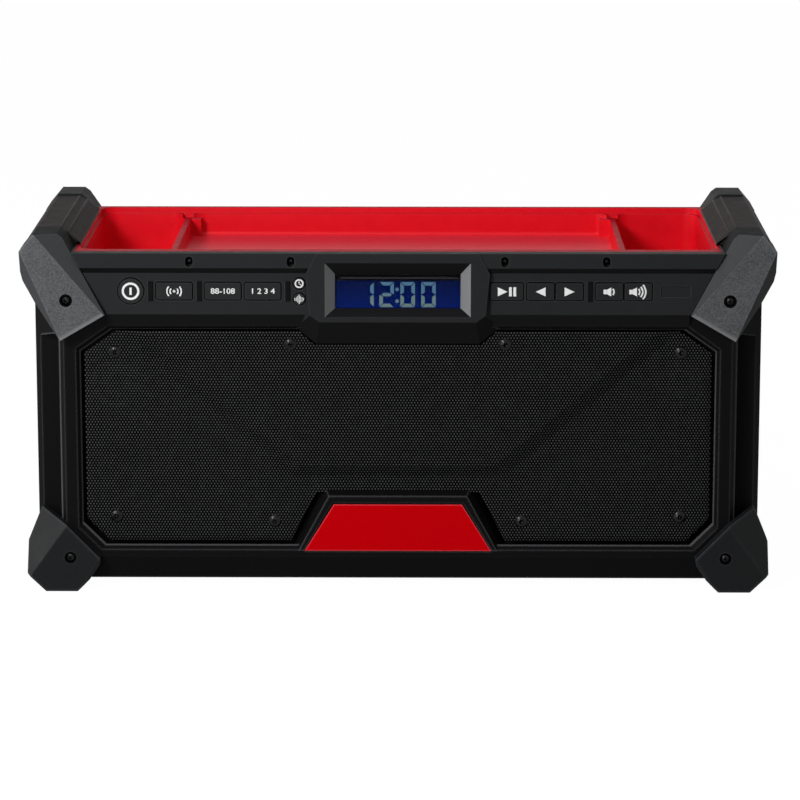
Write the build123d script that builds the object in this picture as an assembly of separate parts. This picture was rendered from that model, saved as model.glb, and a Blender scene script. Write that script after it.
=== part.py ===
"""A jobsite radio in two housing shells, with a tool tray, corner bumpers, carrying rails, speakers and a battery bay.

Frame: +Z up, +X to the right seen from the front, the front faces -Y, origin on the ground under the middle.
Lengths are millimetres. Every piece is a solid of its own, written to parts/NODE.step.
"""
from build123d import *
import os

# ------------------------------------------------------------------ driving sizes
# The whole radio. Its width follows from the row of keys and its height from the bands of the front.
DEPTH = 184.0
FOOT_HEIGHT = 7.0            # ground to the underside of the housing
SILL_HEIGHT = 18.0           # housing underside to the speaker opening
OPENING_HEIGHT = 115.5       # speaker opening
LINTEL_HEIGHT = 3.0          # speaker opening to the control panel
RAIL_RISE = 10.0             # tray rim to the top of the rails and bumpers

# Control panel, bottom to top
PANEL_SLOPE_HEIGHT = 7.2
KEY_STRIP_HEIGHT = 22.3
BROW_HEIGHT = 3.0
TOP_STRIP_HEIGHT = 8.0
PANEL_WALL = 2.5
KEY_STRIP_PROUD = 3.5        # key strip in front of the housing face
TOP_STRIP_PROUD = 6.0        # top strip in front of the housing face

# Keys, counted outwards from the display surround
KEY_HEIGHT = 9.4
KEY_WIDE = 19.4
KEY_PLAY = 17.5
KEY_NARROW = 14.7
KEY_POWER = 13.9
KEY_ROUND = 6.4
KEY_ROOM = 21.4              # height of the room behind the keys
RIB_WIDTH = 3.0
RIB_HEIGHT = 10.6
RIB_PROUD = 0.6
PLATE_WIDTH = 15.6           # bare recess at the end of the row
PLATE_HEIGHT = 5.8
PLATE_DEPTH = 0.6
FIRST_GAP = 0.4
ROW_GAP = 1.7
PAIR_GAP = 0.6
PLATE_GAP = 4.7
ROW_MARGIN = 0.1             # end of the row to the plumb line through the bumper's inner corner
KEY_CLEARANCE = 0.4
KEY_PROUD = 0.8
KEY_FLANGE = 0.8
KEY_FLANGE_THICKNESS = 1.0
KEY_TRAVEL = 0.8
KEY_RADIUS = 1.2
KEY_EDGE = 0.35
SWITCH_CLEARANCE = 0.1
SWITCH_WIDTH = 4.4
SWITCH_PLUNGER = 1.2         # plunger radius
SWITCH_PLUNGER_HEIGHT = 0.5
BOARD = 1.6                  # thickness of the circuit boards
BOARD_LAP = 1.8              # key board over the housing, above and below its room
BOARD_END = 3.0              # key board past the ends of the row

# Display
SURROUND_TOP = 86.0
SURROUND_WAIST = 97.2
SURROUND_FOOT = 83.0
SURROUND_SKIRT = 108.6
SURROUND_HEM = 87.4
SURROUND_PROUD = 6.6
SURROUND_DROP = 9.9          # foot of the skirt under the panel's lower edge
SURROUND_CHIN = 3.6          # foot of the block's front under the key strip
SURROUND_TUCK = 2.0          # block's front narrower at the key strip's foot than at the brow
SURROUND_FLARE = 1.0         # block's back wider than its front
WINDOW_WIDTH = 66.4
WINDOW_HEIGHT = 18.2
WINDOW_SPLAY = 5.4
WINDOW_LIFT = 1.4            # front of the window's bevel higher than the pane
WINDOW_RISE = 19.5           # panel foot to the middle of the window
WINDOW_THICKNESS = 1.5
WINDOW_LAP = 1.5
PANE_CLEARANCE = 0.1
LCD_MARGIN = 1.3             # display module past the window
LCD_THICKNESS = 4.8
LCD_GAP = 0.2

# Housing
WALL = 3.0
PLATE = 8.0                  # thickness of the bumpers in front of and behind the housing
SIDE_PROUD = 5.5             # bumpers outside the housing side
PILLAR_FACE = 6.5            # flat of the frame beside the speaker opening's bevel
PILLAR_INSET = 16.5          # housing side to the start of the pillar's slope
PILLAR_DEPTH = 17.0          # how far back the pillar's slope runs
SILL_WALL = 9.0              # front wall under the speaker opening
SILL_SLOPE_DEPTH = 3.0
SILL_LIP = 2.0               # lip of the front shell under the rest of the housing
SILL_LIP_WIDTH = 7.0
SILL_SLOPE_HEIGHT = 10.5
BEVEL_WIDTH = 3.8
BEVEL_DEPTH = 4.6
CORNER_LOW = 12.2
CORNER_HIGH_WIDE = 17.0
CORNER_HIGH_TALL = 12.0
SHELL_JOINT = 78.0           # front face to the joint of the two shells
BAFFLE_DEPTH = 14.0
BAFFLE_THICKNESS = 3.0
POCKET_DEPTH = 20.0          # finger pocket, inwards from the housing side
POCKET_HEIGHT = 42.0         # finger pocket's floor under the tray rim
POCKET_SLOPE = 6.0
POST_RISE = 4.3              # post top over the tray rim
POST_FOOT_SET = 3.0          # post's inner side, outwards from the pocket's wall, at the tray rim
POST_TOP_SET = 5.5           # the same at the post's top
BACK_SLOPE_DEPTH = 15.7      # slope from the tray down to the back
BACK_SLOPE_HEIGHT = 17.0
BUMPER_LENGTH_FRONT = 28.0
BUMPER_LENGTH_BACK = 42.0
BACK_CHAMFER_DEPTH = 16.0
BACK_CHAMFER_HEIGHT = 24.0

# Carrying rails
BAR_WIDTH = 9.0
BAR_HEIGHT = 9.0
BAR_INSET = 8.0              # bumper side to the bar
BAR_DROP = 9.5               # rail top to the bar
BAR_LAP = 14.0               # length of the bar inside each post
GRIP_LIP = 5.0               # grip inwards over the tray rim
GRIP_CLEARANCE = 0.3
GRIP_EDGE = 8.0              # grip's inner side, down from the tray rim
GRIP_FLANK = (1.5, 3.5)      # grip's inner side and its lower corner, outwards from the pocket's wall
GRIP_RIDGE = 0.8
GRIP_RIDGE_WIDTH = 1.4
GRIP_RIDGE_END = 3.0
GRIP_RIDGES = ((19.5, 1.0), (23.3, 3.6))     # inwards from the bumper's side, down from the rail's top
# Grip outline past its inner corner, as (inwards from the bumper's side, downwards from the top)
GRIP_OUTLINE = ((5.5, 22), (0.2, 19.5), (0.2, 9.1), (6.5, 1), (20, 1), (22.2, 2.8), (27.4, 6.2))

# Speaker grille
SHEET = 1.2
GRILLE_SETBACK = 5.0         # housing face to the grille's side panels
GRILLE_RAISE = 2.6
GRILLE_FOLD = 12.0           # width of the sloped fold
GRILLE_TOP_HALF = 136.0
GRILLE_FOOT_HALF = 52.0
GRILLE_FOOT_RISE = 42.0
GRILLE_GAP = 0.3
GRILLE_TOP_GAP = 1.5         # raised middle under the grille's upper edge
GRILLE_SCREW_TOP = (16.8, 11.7)      # outer upper screw: in from the opening's side, down from its top
GRILLE_SCREW_FOOT = (16.2, 13.7)     # outer lower screw: in from the opening's side, up from its foot
GRILLE_SCREW_INNER_TOP = (57.2, 7.0)     # from the middle, down from the opening's top
GRILLE_SCREW_INNER_FOOT = (66.4, 11.1)   # from the middle, up from the opening's foot
GRILLE_SCREW_RADIUS = 3.2
GRILLE_SCREW_HEIGHT = 1.6
GRILLE_BOSS_RADIUS = 3.6

# Badge plate
BADGE_TOP_HALF = 34.5
BADGE_FOOT_HALF = 50.3
BADGE_HEIGHT = 25.8
BADGE_FOOT = 4.3             # badge foot under the speaker opening's lower edge
BADGE_THICKNESS = 2.0
BADGE_RIM = 3.2
BADGE_RIM_TOP = 4.6
BADGE_SLOPE = 5.0
BADGE_PROUD = 0.6            # frame and plate in front of the housing face
BADGE_BEVEL = 0.8
BADGE_CLEARANCE = 0.1

# Tray
TRAY_WALL = 2.5
TRAY_RIM = 3.0
TRAY_SIDE_DEPTH = 34.0
TRAY_MIDDLE_DEPTH = 15.5
TRAY_DIVIDER_AT = 120.3
TRAY_DIVIDER_DROP = 5.5      # top of the dividers under the rim, at the back
TRAY_BOARD_GAP = 0.9         # key board to the tray's front wall
TRAY_FLOOR_RADIUS = 2.0
TRAY_BACK_SETBACK = 16.0     # back of the tray in front of the housing's back
TRAY_RIM_WIDTH = 5.0
TRAY_CORNER = 8.0
TRAY_STEP = 1.2              # small step all round the inside, under the rim
TRAY_STEP_DROP = 3.3
TRAY_END_WALL = 3.0
TRAY_CLEARANCE = 0.2
TRAY_BLOCK = 6.0

# Speakers
WOOFER_AT = 90.0
WOOFER_FLANGE = 43.0
WOOFER_BORE = 38.0
WOOFER_ROLL_OUT = 36.5
WOOFER_ROLL_IN = 31.0
WOOFER_BASKET_DEPTH = 29.0
WOOFER_BASKET_BACK = 22.0
WOOFER_MAGNET = 27.0
WOOFER_MAGNET_DEPTH = 15.0
WOOFER_COIL = 12.0
WOOFER_POLE = 11.2
WOOFER_CONE_DEPTH = 17.0
CONE_WALL = 0.8
CONE_TRAVEL = 1.5
TWEETER_INSET = 16.2
TWEETER_DROP = 30.0
TWEETER_FLANGE = 13.0
TWEETER_BODY = 11.0
TWEETER_RING = 9.7
TWEETER_DEPTH = 12.0
FLANGE_THICKNESS = 3.0
BASKET_WALL = 1.5
BASKET_CLEARANCE = 0.2
BASKET_NECK = 4.0            # straight part of the basket behind the baffle
BASKET_WINDOW = 22.0
POLE_TIP = 6.0               # pole in front of the magnet
POLE_BASE = 4.0              # back plate behind the voice coil's gap
CONE_INSET = 0.5             # cone's rim behind the flange's front
CONE_DOME = 4.0
COIL_REACH = 4.0             # voice coil behind the magnet's front
COIL_WALL = 0.8
ROLL_HEIGHT = 1.5            # surround in front of the flange
ROLL_SLOPE = 1.4
ROLL_WALL = 0.9
SURROUND_GAP = 0.05
TWEETER_LIP = 1.2            # width of the ring round the tweeter's dish
TWEETER_LIP_PROUD = 1.0
TWEETER_DISH = 2.2
TWEETER_DOME = 4.0           # radius of the tweeter's dome
SPEAKER_SCREW_RADIUS = 2.2
SPEAKER_SCREW_HEIGHT = 1.5

# Main board and heat sink
MAIN_BOARD_WIDTH = 200.0
MAIN_BOARD_FRONT = 3.0       # baffle to the board
MAIN_BOARD_BACK = 4.0        # board to the joint of the shells
LEG_HEIGHT = 4.0
LEG_RADIUS = 3.5
LEG_INSET = 8.0
CHIP_HEIGHT = 3.0
CHIPS = ((-63, 20, 14), (66, 24, 12), (70, 40, 9), (-59, 42, 10))    # middle x, back from the board's front, size
SINK_WIDTH = 60.0
SINK_DEPTH = 36.0
SINK_BASE = 3.0
SINK_HEIGHT = 18.0
SINK_FINS = 9
SINK_FIN = 2.0

# Battery bay, in the back shell
BAY_WIDTH = 200.0
BAY_DEPTH = 62.0
BAY_FLOOR = 20.0             # bay floor over the housing floor
BAY_HEADROOM = 5.5           # bay ceiling under the tray's side compartments
PACK_WIDTH = 76.0
PACK_DEPTH = 51.0
PACK_HEIGHT = 92.0
PACK_GAP = 4.0
PACK_TRAVEL = 62.0
RAIL_HEIGHT = 4.0
RAIL_DEPTH = 5.0
RAIL_HALF = 29.0
RAIL_LIP = 4.0
RAIL_LENGTH = 160.0
RAIL_LIP_THICKNESS = 1.6
PACK_EDGE = 4.0
PACK_GROOVES = 4
PACK_GROOVE_PITCH = 16.0
PACK_GROOVE_WIDTH = 4.0
PACK_GROOVE_DEPTH = 1.2
PACK_GROOVE_END = 12.0
BLADES = 3
BLADE_PITCH = 9.0
BLADE_THICKNESS = 1.0
BLADE_WIDTH = 8.0
BLADE_REACH = 8.0            # blade inside the pack
TERMINAL_FRONT = 12.0        # bay's front wall to the contact block
TERMINAL_DEPTH = 20.0
TERMINAL_HEIGHT = 30.0
USB_FRONT = 14.0             # bay's front wall to the charging socket
USB_DROP = 18.0              # bay ceiling to the charging socket
USB_WIDTH = 15.0
USB_HEIGHT = 8.0
USB_LENGTH = 7.0
USB_WALL = 1.2
USB_TONGUE = 1.6
RUN = 0.4                    # running clearance of the pack on its rails

# Door
DOOR_LAP = 5.0               # door over the housing, all round the bay
DOOR_THICKNESS = 4.0
DOOR_GAP = 0.6
DOOR_EDGE = 1.2
DOOR_FRAME = 2.0             # height and width of the frame on the door's inside
DOOR_FRAME_INSET = 8.5
DOOR_RIBS = 6
DOOR_RIB_WIDTH = 4.4
DOOR_RIB_PROUD = 0.9
DOOR_RIB_END = 14.0
HINGE_RADIUS = 3.2
HINGE_PIN = 1.6
HINGE_RUN = 0.05
HINGE_OUT = 5.0              # pin axis outside the door's edge
HINGE_STANDOFF = 0.8         # housing's back to the knuckles
KNUCKLES = 5
PIN_END = 0.5                # pin past the outer knuckles
KNUCKLE_LENGTH = 22.0
KNUCKLE_GAP = 0.3
SEAL_WIDTH = 3.0
SEAL_DEPTH = 1.4
SEAL_PROUD = 0.4
SEAL_INSET = 1.2             # bay's edge to the seal
LATCH_INSET = 9.0            # latch axis inside the bay's side
LATCH_SHAFT = 4.0
LATCH_KNOB = 9.0
LATCH_KNOB_THICKNESS = 2.4
LATCH_WING = 15.0
LATCH_WING_WIDTH = 4.0
LATCH_GAP = 0.2
LATCH_CAM_LENGTH = 13.0
LATCH_CAM_WIDTH = 6.0
LATCH_CAM_THICKNESS = 3.0
LATCH_CAM_GAP = 0.5
CAM_SLOT_MARGIN = 8.0        # slot for the cam in the bay's side, above and below the cam
CAM_SLOT_GAP = 1.5

# Sockets at the back
PORT_AT = 138.0
PORT_RISE = 62.0             # middle of the port recess over the housing's underside
PORT_WIDTH = 40.0
PORT_HEIGHT = 24.0
PORT_RECESS = 1.5
FLAP_THICKNESS = 2.5
FLAP_BARREL = 1.8            # radius of the flap's hinge barrel
FLAP_STANDOFF = 0.6          # housing's back to the barrel
FLAP_GAP = 0.3
FLAP_LAP = 1.0               # leaf past the recess, each side
FLAP_HANG = 3.2              # barrel axis over the recess and over the leaf
FLAP_TAB = 12.0
FLAP_TAB_DROP = 4.5          # foot of the tab under the recess
FLAP_TAB_PROUD = 1.2
EAR_WALL = 1.0
EAR_THICKNESS = 3.0
JACK_RADIUS = 5.0
JACK_BORE = 1.8
INLET_RADIUS = 6.0
INLET_BORE = 2.9
INLET_PIN = 0.9
SOCKET_LENGTH = 14.0
SOCKET_BASE = 3.0            # closed end of a socket
SOCKET_CLEARANCE = 0.1
PIN_SINK = 2.0               # tip of the inlet's pin behind the socket's mouth
SOCKET_SPACING = 16.0

# Fasteners
SCREW_SHANK = 1.5
SCREW_HEAD = 2.6
SCREW_HEAD_HEIGHT = 2.0
BUMPER_SCREW_IN = 24.4       # bumper side to its screw
BUMPER_SCREW_TOP = 35.2      # rail top to the upper screws
BUMPER_SCREW_LOW = 18.6      # ground to the lower screws
BUMPER_SCREW_SINK = 3.0
BUMPER_SCREW_BITE = 8.0      # screw in the housing
BUMPER_BOSS = 7.0            # half width of the boss behind a lower rear screw
SHELL_SCREW_HEAD = 3.6
SHELL_COLUMN = 5.0
SHELL_SCREW_BITE = 18.0      # screw in the front shell
SHELL_SCREW_SEAT = 22.0      # joint of the shells to the screw head
SHELL_SCREW_HEAD_HEIGHT = 3.0
SHELL_SCREW_CLEARANCE = 0.3
SHELL_SCREW_AT = (18.0, 11.0, 12.0, 11.0)    # past the bay, over the floor, under the tray, in from the side
SLOT_WIDTH = 4.0
SLOT_HEIGHT = 5.7
SLOT_DEPTH = 3.0
SLOT_AT = (56.6, 110.3)
SLOT_DROP = 4.6

# ------------------------------------------------------------------ places that follow
Y_FACE = -DEPTH / 2 + PLATE              # front face of the housing
Y_BACK = DEPTH / 2 - PLATE               # back face of the housing
Y_JOINT = Y_FACE + SHELL_JOINT
Z_BODY = FOOT_HEIGHT
Z_OPEN = Z_BODY + SILL_HEIGHT
Z_OPEN_TOP = Z_OPEN + OPENING_HEIGHT
Z_PANEL = Z_OPEN_TOP + LINTEL_HEIGHT
Z_KEYS = Z_PANEL + PANEL_SLOPE_HEIGHT
Z_BROW = Z_KEYS + KEY_STRIP_HEIGHT
Z_STRIP = Z_BROW + BROW_HEIGHT
Z_RIM = Z_STRIP + TOP_STRIP_HEIGHT       # tray rim
HEIGHT = Z_RIM + RAIL_RISE
Z_ROW = Z_KEYS + KEY_STRIP_HEIGHT / 2 + 1.4

LEFT_ROW = (("rounds", KEY_ROUND, FIRST_GAP), ("rib", RIB_WIDTH, ROW_GAP), ("preset", KEY_WIDE, ROW_GAP),
            ("band", KEY_WIDE, ROW_GAP), ("rib", RIB_WIDTH, ROW_GAP), ("wireless", KEY_WIDE, ROW_GAP),
            ("rib", RIB_WIDTH, ROW_GAP), ("power", KEY_POWER, ROW_GAP))
RIGHT_ROW = (("play_pause", KEY_PLAY, FIRST_GAP), ("previous", KEY_NARROW, ROW_GAP), ("next", KEY_NARROW, PAIR_GAP),
             ("rib", RIB_WIDTH, ROW_GAP), ("volume_down", KEY_NARROW, ROW_GAP),
             ("volume_up", KEY_NARROW, PAIR_GAP), ("plate", PLATE_WIDTH, PLATE_GAP))


def along_row(row, side):
    """(name, middle x, width) of everything on one side of the display, and where the row ends."""
    places, edge = [], SURROUND_WAIST / 2
    for name, width, gap in row:
        edge += gap
        places.append((name, side * (edge + width / 2), width))
        edge += width
    return places, edge


LEFT_PLACES, LEFT_END = along_row(LEFT_ROW, -1)
RIGHT_PLACES, RIGHT_END = along_row(RIGHT_ROW, 1)
ROW_END = max(LEFT_END, RIGHT_END)

# Upper bumper outline, as (inwards from the bumper's side, downwards from the top)
UPPER_OUTLINE = ((0, 9), (7.3, 0), (20, 0), (22.7, 2.3), (45, 43), (21, 57), (7.4, 37), (1, 25.5), (0, 20.5))
# Lower bumper outline, as (inwards from the bumper's side, upwards from the ground)
LOWER_OUTLINE = ((1, 26), (1, 9.6), (11, 0), (28, 0), (34.5, 6.3), (39.8, 14.3), (40.4, 18), (22.5, 36.5),
                 (8.2, 43.6))
# Flats cut off the bumpers' faces, each through three points: (inwards, up or down as above, back from the face)
UPPER_FACETS = (((0, 9, 0), (21, 57, 0), (2, 33, 9)), ((8, 0, 0), (40, 38, 0), (34, 23, 2.6)))
LOWER_FACETS = (((22.5, 36, 0), (4.5, 11, 0), (0.6, 24, 10)), ((30, 2, 0), (40, 18, 0), (38, 9, 2.5)))
BUMPER_SPAN = UPPER_OUTLINE[4][0]
HALF_WIDTH = ROW_END + ROW_MARGIN + BUMPER_SPAN
X_SIDE = HALF_WIDTH - SIDE_PROUD         # housing side
X_POCKET = X_SIDE - POCKET_DEPTH         # finger pocket's inner wall
X_TRAY = X_POCKET - WALL - TRAY_CLEARANCE
Z_POCKET = Z_RIM - POCKET_HEIGHT
X_PILLAR = X_SIDE - PILLAR_INSET         # where the pillar's slope starts
X_RIDGE = X_PILLAR - PILLAR_FACE         # ridge round the speaker opening
X_OPEN = X_RIDGE - BEVEL_WIDTH           # speaker opening
Y_BAFFLE = Y_FACE + BAFFLE_DEPTH
Y_SHEET = Y_FACE + GRILLE_SETBACK
Y_FRONT_POST = -DEPTH / 2 + BUMPER_LENGTH_FRONT
Y_BACK_POST = DEPTH / 2 - BUMPER_LENGTH_BACK
Y_TRAY_BACK = Y_BACK - TRAY_BACK_SETBACK
Y_TRAY_INNER = Y_TRAY_BACK - TRAY_RIM_WIDTH
Z_TRAY_SIDE = Z_RIM - TRAY_SIDE_DEPTH
Z_TRAY_MIDDLE = Z_RIM - TRAY_MIDDLE_DEPTH
Z_WOOFER = (Z_OPEN + Z_OPEN_TOP) / 2
Y_MAIN_BOARD = (Y_BAFFLE + BAFFLE_THICKNESS + MAIN_BOARD_FRONT, Y_JOINT - MAIN_BOARD_BACK)
Z_MAIN_BOARD = Z_BODY + WALL + LEG_HEIGHT
Z_TWEETER = Z_OPEN_TOP - TWEETER_DROP
X_TWEETER = X_OPEN - TWEETER_INSET
Y_KEYS = Y_FACE - KEY_STRIP_PROUD        # face of the key strip
Y_STRIP = Y_FACE - TOP_STRIP_PROUD
Y_SURROUND = Y_FACE - SURROUND_PROUD
Y_PANEL_BACK = Y_KEYS + PANEL_WALL
Y_BOARD = Y_FACE + WALL                  # front of the key board
Y_TRAY_FRONT = Y_BOARD + BOARD + TRAY_BOARD_GAP + TRAY_WALL
Z_WINDOW = Z_PANEL + WINDOW_RISE
Y_PANE = Y_FACE - WINDOW_THICKNESS
Z_BAY = Z_BODY + WALL + BAY_FLOOR
Z_BAY_TOP = Z_TRAY_SIDE - TRAY_WALL - BAY_HEADROOM
Y_BAY = Y_BACK - BAY_DEPTH
X_BAY = BAY_WIDTH / 2
X_PACK = -X_BAY + PACK_GAP
Z_PACK = (Z_BAY + Z_BAY_TOP) / 2
Y_DOOR = Y_BACK + DOOR_GAP
X_HINGE = -(X_BAY + DOOR_LAP + HINGE_OUT)
Y_HINGE = Y_BACK + HINGE_RADIUS + HINGE_STANDOFF
X_LATCH = X_BAY - LATCH_INSET
Z_LATCH = (Z_BAY + Z_BAY_TOP) / 2
Y_CAM = Y_BACK - WALL - LATCH_CAM_GAP    # back face of the latch cam
Z_PORT = Z_BODY + PORT_RISE
SHELL_SCREWS = tuple((side * x, z) for side in (-1, 1)
                     for x, z in ((X_BAY + SHELL_SCREW_AT[0], Z_BODY + SHELL_SCREW_AT[1]),
                                  (X_BAY + SHELL_SCREW_AT[0], Z_TRAY_SIDE - SHELL_SCREW_AT[2]),
                                  (X_SIDE - SHELL_SCREW_AT[3], Z_WOOFER)))
# Grille screws: (x, z, front of the sheet there). The two inner upper ones hold the raised middle.
GRILLE_SCREWS = tuple((side * x, z, y) for side in (-1, 1)
                      for x, z, y in (
                          (X_OPEN - GRILLE_SCREW_TOP[0], Z_OPEN_TOP - GRILLE_SCREW_TOP[1], Y_SHEET),
                          (GRILLE_SCREW_INNER_TOP[0], Z_OPEN_TOP - GRILLE_SCREW_INNER_TOP[1], Y_SHEET - GRILLE_RAISE),
                          (X_OPEN - GRILLE_SCREW_FOOT[0], Z_OPEN + GRILLE_SCREW_FOOT[1], Y_SHEET),
                          (GRILLE_SCREW_INNER_FOOT[0], Z_OPEN + GRILLE_SCREW_INNER_FOOT[1], Y_SHEET)))
BUMPER_SCREWS = tuple((side * (HALF_WIDTH - BUMPER_SCREW_IN), z)
                      for side in (-1, 1) for z in (HEIGHT - BUMPER_SCREW_TOP, BUMPER_SCREW_LOW))


# ------------------------------------------------------------------ shapes used all through
def prism(points, axis, start, end):
    """A closed outline across an axis, carried along it from start to end."""
    place = {"X": lambda a, b: (start, a, b), "Y": lambda a, b: (a, start, b), "Z": lambda a, b: (a, b, start)}
    way = {"X": (1, 0, 0), "Y": (0, 1, 0), "Z": (0, 0, 1)}
    face = make_face(Polyline(*[place[axis](a, b) for a, b in points], close=True))
    return extrude(face, amount=end - start, dir=way[axis])


def block(x, y, z):
    """A box between two x, two y and two z values."""
    return Pos(sum(x) / 2, sum(y) / 2, sum(z) / 2) * Box(x[1] - x[0], y[1] - y[0], z[1] - z[0])


def rod(x, z, radius, y):
    """A cylinder along Y, between two y values."""
    return Pos(x, sum(y) / 2, z) * Rot(90, 0, 0) * Cylinder(radius, y[1] - y[0])


def post(x, y, radius, z):
    """A cylinder along Z, between two z values."""
    return Pos(x, y, sum(z) / 2) * Cylinder(radius, z[1] - z[0])


def tapered(front, y_front, back, y_back):
    """A solid between two outlines in X-Z, one in front of the other."""
    faces = [make_face(Polyline(*[(x, y, z) for x, z in points], close=True))
             for points, y in ((front, y_front), (back, y_back))]
    return loft(faces, ruled=True)


def turned(points, x, z):
    """A solid of revolution about an axis along Y, from an outline of (radius, y) points."""
    face = make_face(Polyline(*[(r, y, 0) for r, y in points], close=True))
    return Pos(x, 0, z) * revolve(face, Axis.Y)


def mirrored(shape):
    """The same shape on the other side."""
    return mirror(shape, about=Plane.YZ)


def cut_through(shape, a, b, c, inside):
    """What is left of a shape on that side of the plane through three points where the point inside lies."""
    plane = Plane(a, z_dir=(Vector(*b) - Vector(*a)).cross(Vector(*c) - Vector(*a)))
    above = plane.to_local_coords(Vector(*inside)).Z > 0
    return split(shape, bisect_by=plane, keep=Keep.TOP if above else Keep.BOTTOM)


def symmetric(points):
    """An outline from its right half, given from the bottom up."""
    return tuple(points) + tuple((-x, z) for x, z in reversed(points))


def rounded_key(x, z, width, height, radius, y):
    """A rounded rectangle along Y, between two y values."""
    outline = Plane((x, y[0], z), x_dir=(1, 0, 0), z_dir=(0, -1, 0)) * RectangleRounded(width, height, radius)
    return extrude(outline, amount=y[1] - y[0], dir=(0, 1, 0))


def slot(x, z, width, height, y):
    """A slot with round ends, standing upright, along Y between two y values."""
    outline = Plane((x, y[0], z), x_dir=(0, 0, 1), z_dir=(0, -1, 0)) * SlotOverall(height, width)
    return extrude(outline, amount=y[1] - y[0], dir=(0, 1, 0))


def group(shapes):
    """Separate solids in one node."""
    return Compound([solid for shape in shapes for solid in shape.solids()])


# ------------------------------------------------------------------ housing
def opening_outline(grow=0.0):
    """The speaker opening, with its cut corners. Grown, it is the ridge in front of it."""
    x, low, high = X_OPEN + grow, Z_OPEN - grow, Z_OPEN_TOP + grow * LINTEL_HEIGHT / BEVEL_WIDTH
    return symmetric(((x - CORNER_LOW, low), (x, low + CORNER_LOW), (x, high - CORNER_HIGH_TALL),
                      (x - CORNER_HIGH_WIDE, high)))


def badge_outline(grow, top, foot):
    """The badge's trapezoid: grow widens it, top and foot move its two level edges."""
    low, high = Z_OPEN - BADGE_FOOT, Z_OPEN - BADGE_FOOT + BADGE_HEIGHT
    return symmetric(((BADGE_FOOT_HALF + grow, low - foot), (BADGE_TOP_HALF + grow * 0.8, high + top)))


def housing_envelope():
    """The outside of both shells together, before they are hollow."""
    side = ((X_SIDE, Z_BODY), (X_SIDE, Z_POCKET - POCKET_SLOPE / 2), (X_POCKET, Z_POCKET + POCKET_SLOPE / 2),
            (X_POCKET, Z_RIM))
    body = prism(symmetric(side), "Y", Y_FACE, Y_BACK)
    corner = ((X_POCKET - 1, Z_POCKET - POCKET_SLOPE), (X_SIDE, Z_POCKET - POCKET_SLOPE), (X_SIDE, Z_RIM + POST_RISE),
              (X_POCKET + POST_TOP_SET, Z_RIM + POST_RISE), (X_POCKET + POST_FOOT_SET, Z_RIM), (X_POCKET - 1, Z_RIM))
    for y in ((Y_FACE, Y_FRONT_POST), (Y_BACK_POST, Y_BACK)):
        end = prism(corner, "Y", *y)
        body = body + end + mirrored(end)
    reach, foot = HALF_WIDTH - LOWER_OUTLINE[4][0], Z_BODY - SILL_LIP
    body = body + block((-reach, reach), (Y_FACE, Y_FACE + SILL_LIP_WIDTH), (foot, Z_BODY + 1))
    inner, upper = Y_FACE + SILL_SLOPE_DEPTH, Z_BODY + SILL_SLOPE_HEIGHT
    slope = prism(((Y_FACE - 1, foot - 1), (inner, foot - 1), (inner, foot), (Y_FACE, upper), (Y_FACE - 1, upper)),
                  "X", -HALF_WIDTH, HALF_WIDTH)
    pillar = prism(((X_PILLAR, Y_FACE - 1), (X_PILLAR, Y_FACE), (X_SIDE, Y_FACE + PILLAR_DEPTH),
                    (X_SIDE + 1, Y_FACE + PILLAR_DEPTH), (X_SIDE + 1, Y_FACE - 1)), "Z", 0, HEIGHT)
    back_edge = Y_BACK - BACK_SLOPE_DEPTH
    behind = prism(((back_edge, Z_RIM), (Y_BACK, Z_RIM - BACK_SLOPE_HEIGHT), (Y_BACK + 1, Z_RIM - BACK_SLOPE_HEIGHT),
                    (Y_BACK + 1, HEIGHT), (back_edge, HEIGHT)), "X", -X_POCKET, X_POCKET)
    corner_back = prism(((Y_BACK - BACK_CHAMFER_DEPTH, HEIGHT), (Y_BACK, HEIGHT - BACK_CHAMFER_HEIGHT),
                         (Y_BACK + 1, HEIGHT - BACK_CHAMFER_HEIGHT), (Y_BACK + 1, HEIGHT)),
                        "X", -HALF_WIDTH, HALF_WIDTH)
    return body - slope - pillar - mirrored(pillar) - behind - corner_back


def hollow(y, floor):
    """The room inside the shells between two y values, above a floor."""
    x, pocket = X_SIDE - WALL, X_POCKET - WALL
    side = ((x, floor), (x, Z_POCKET - POCKET_SLOPE / 2 - WALL), (pocket, Z_POCKET + POCKET_SLOPE / 2 - WALL),
            (pocket, HEIGHT))
    return prism(symmetric(side), "Y", *y)


def bar_holes():
    """The sockets of the handle bars in the corner posts."""
    return handle_bar(1) + handle_bar(-1)


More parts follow.
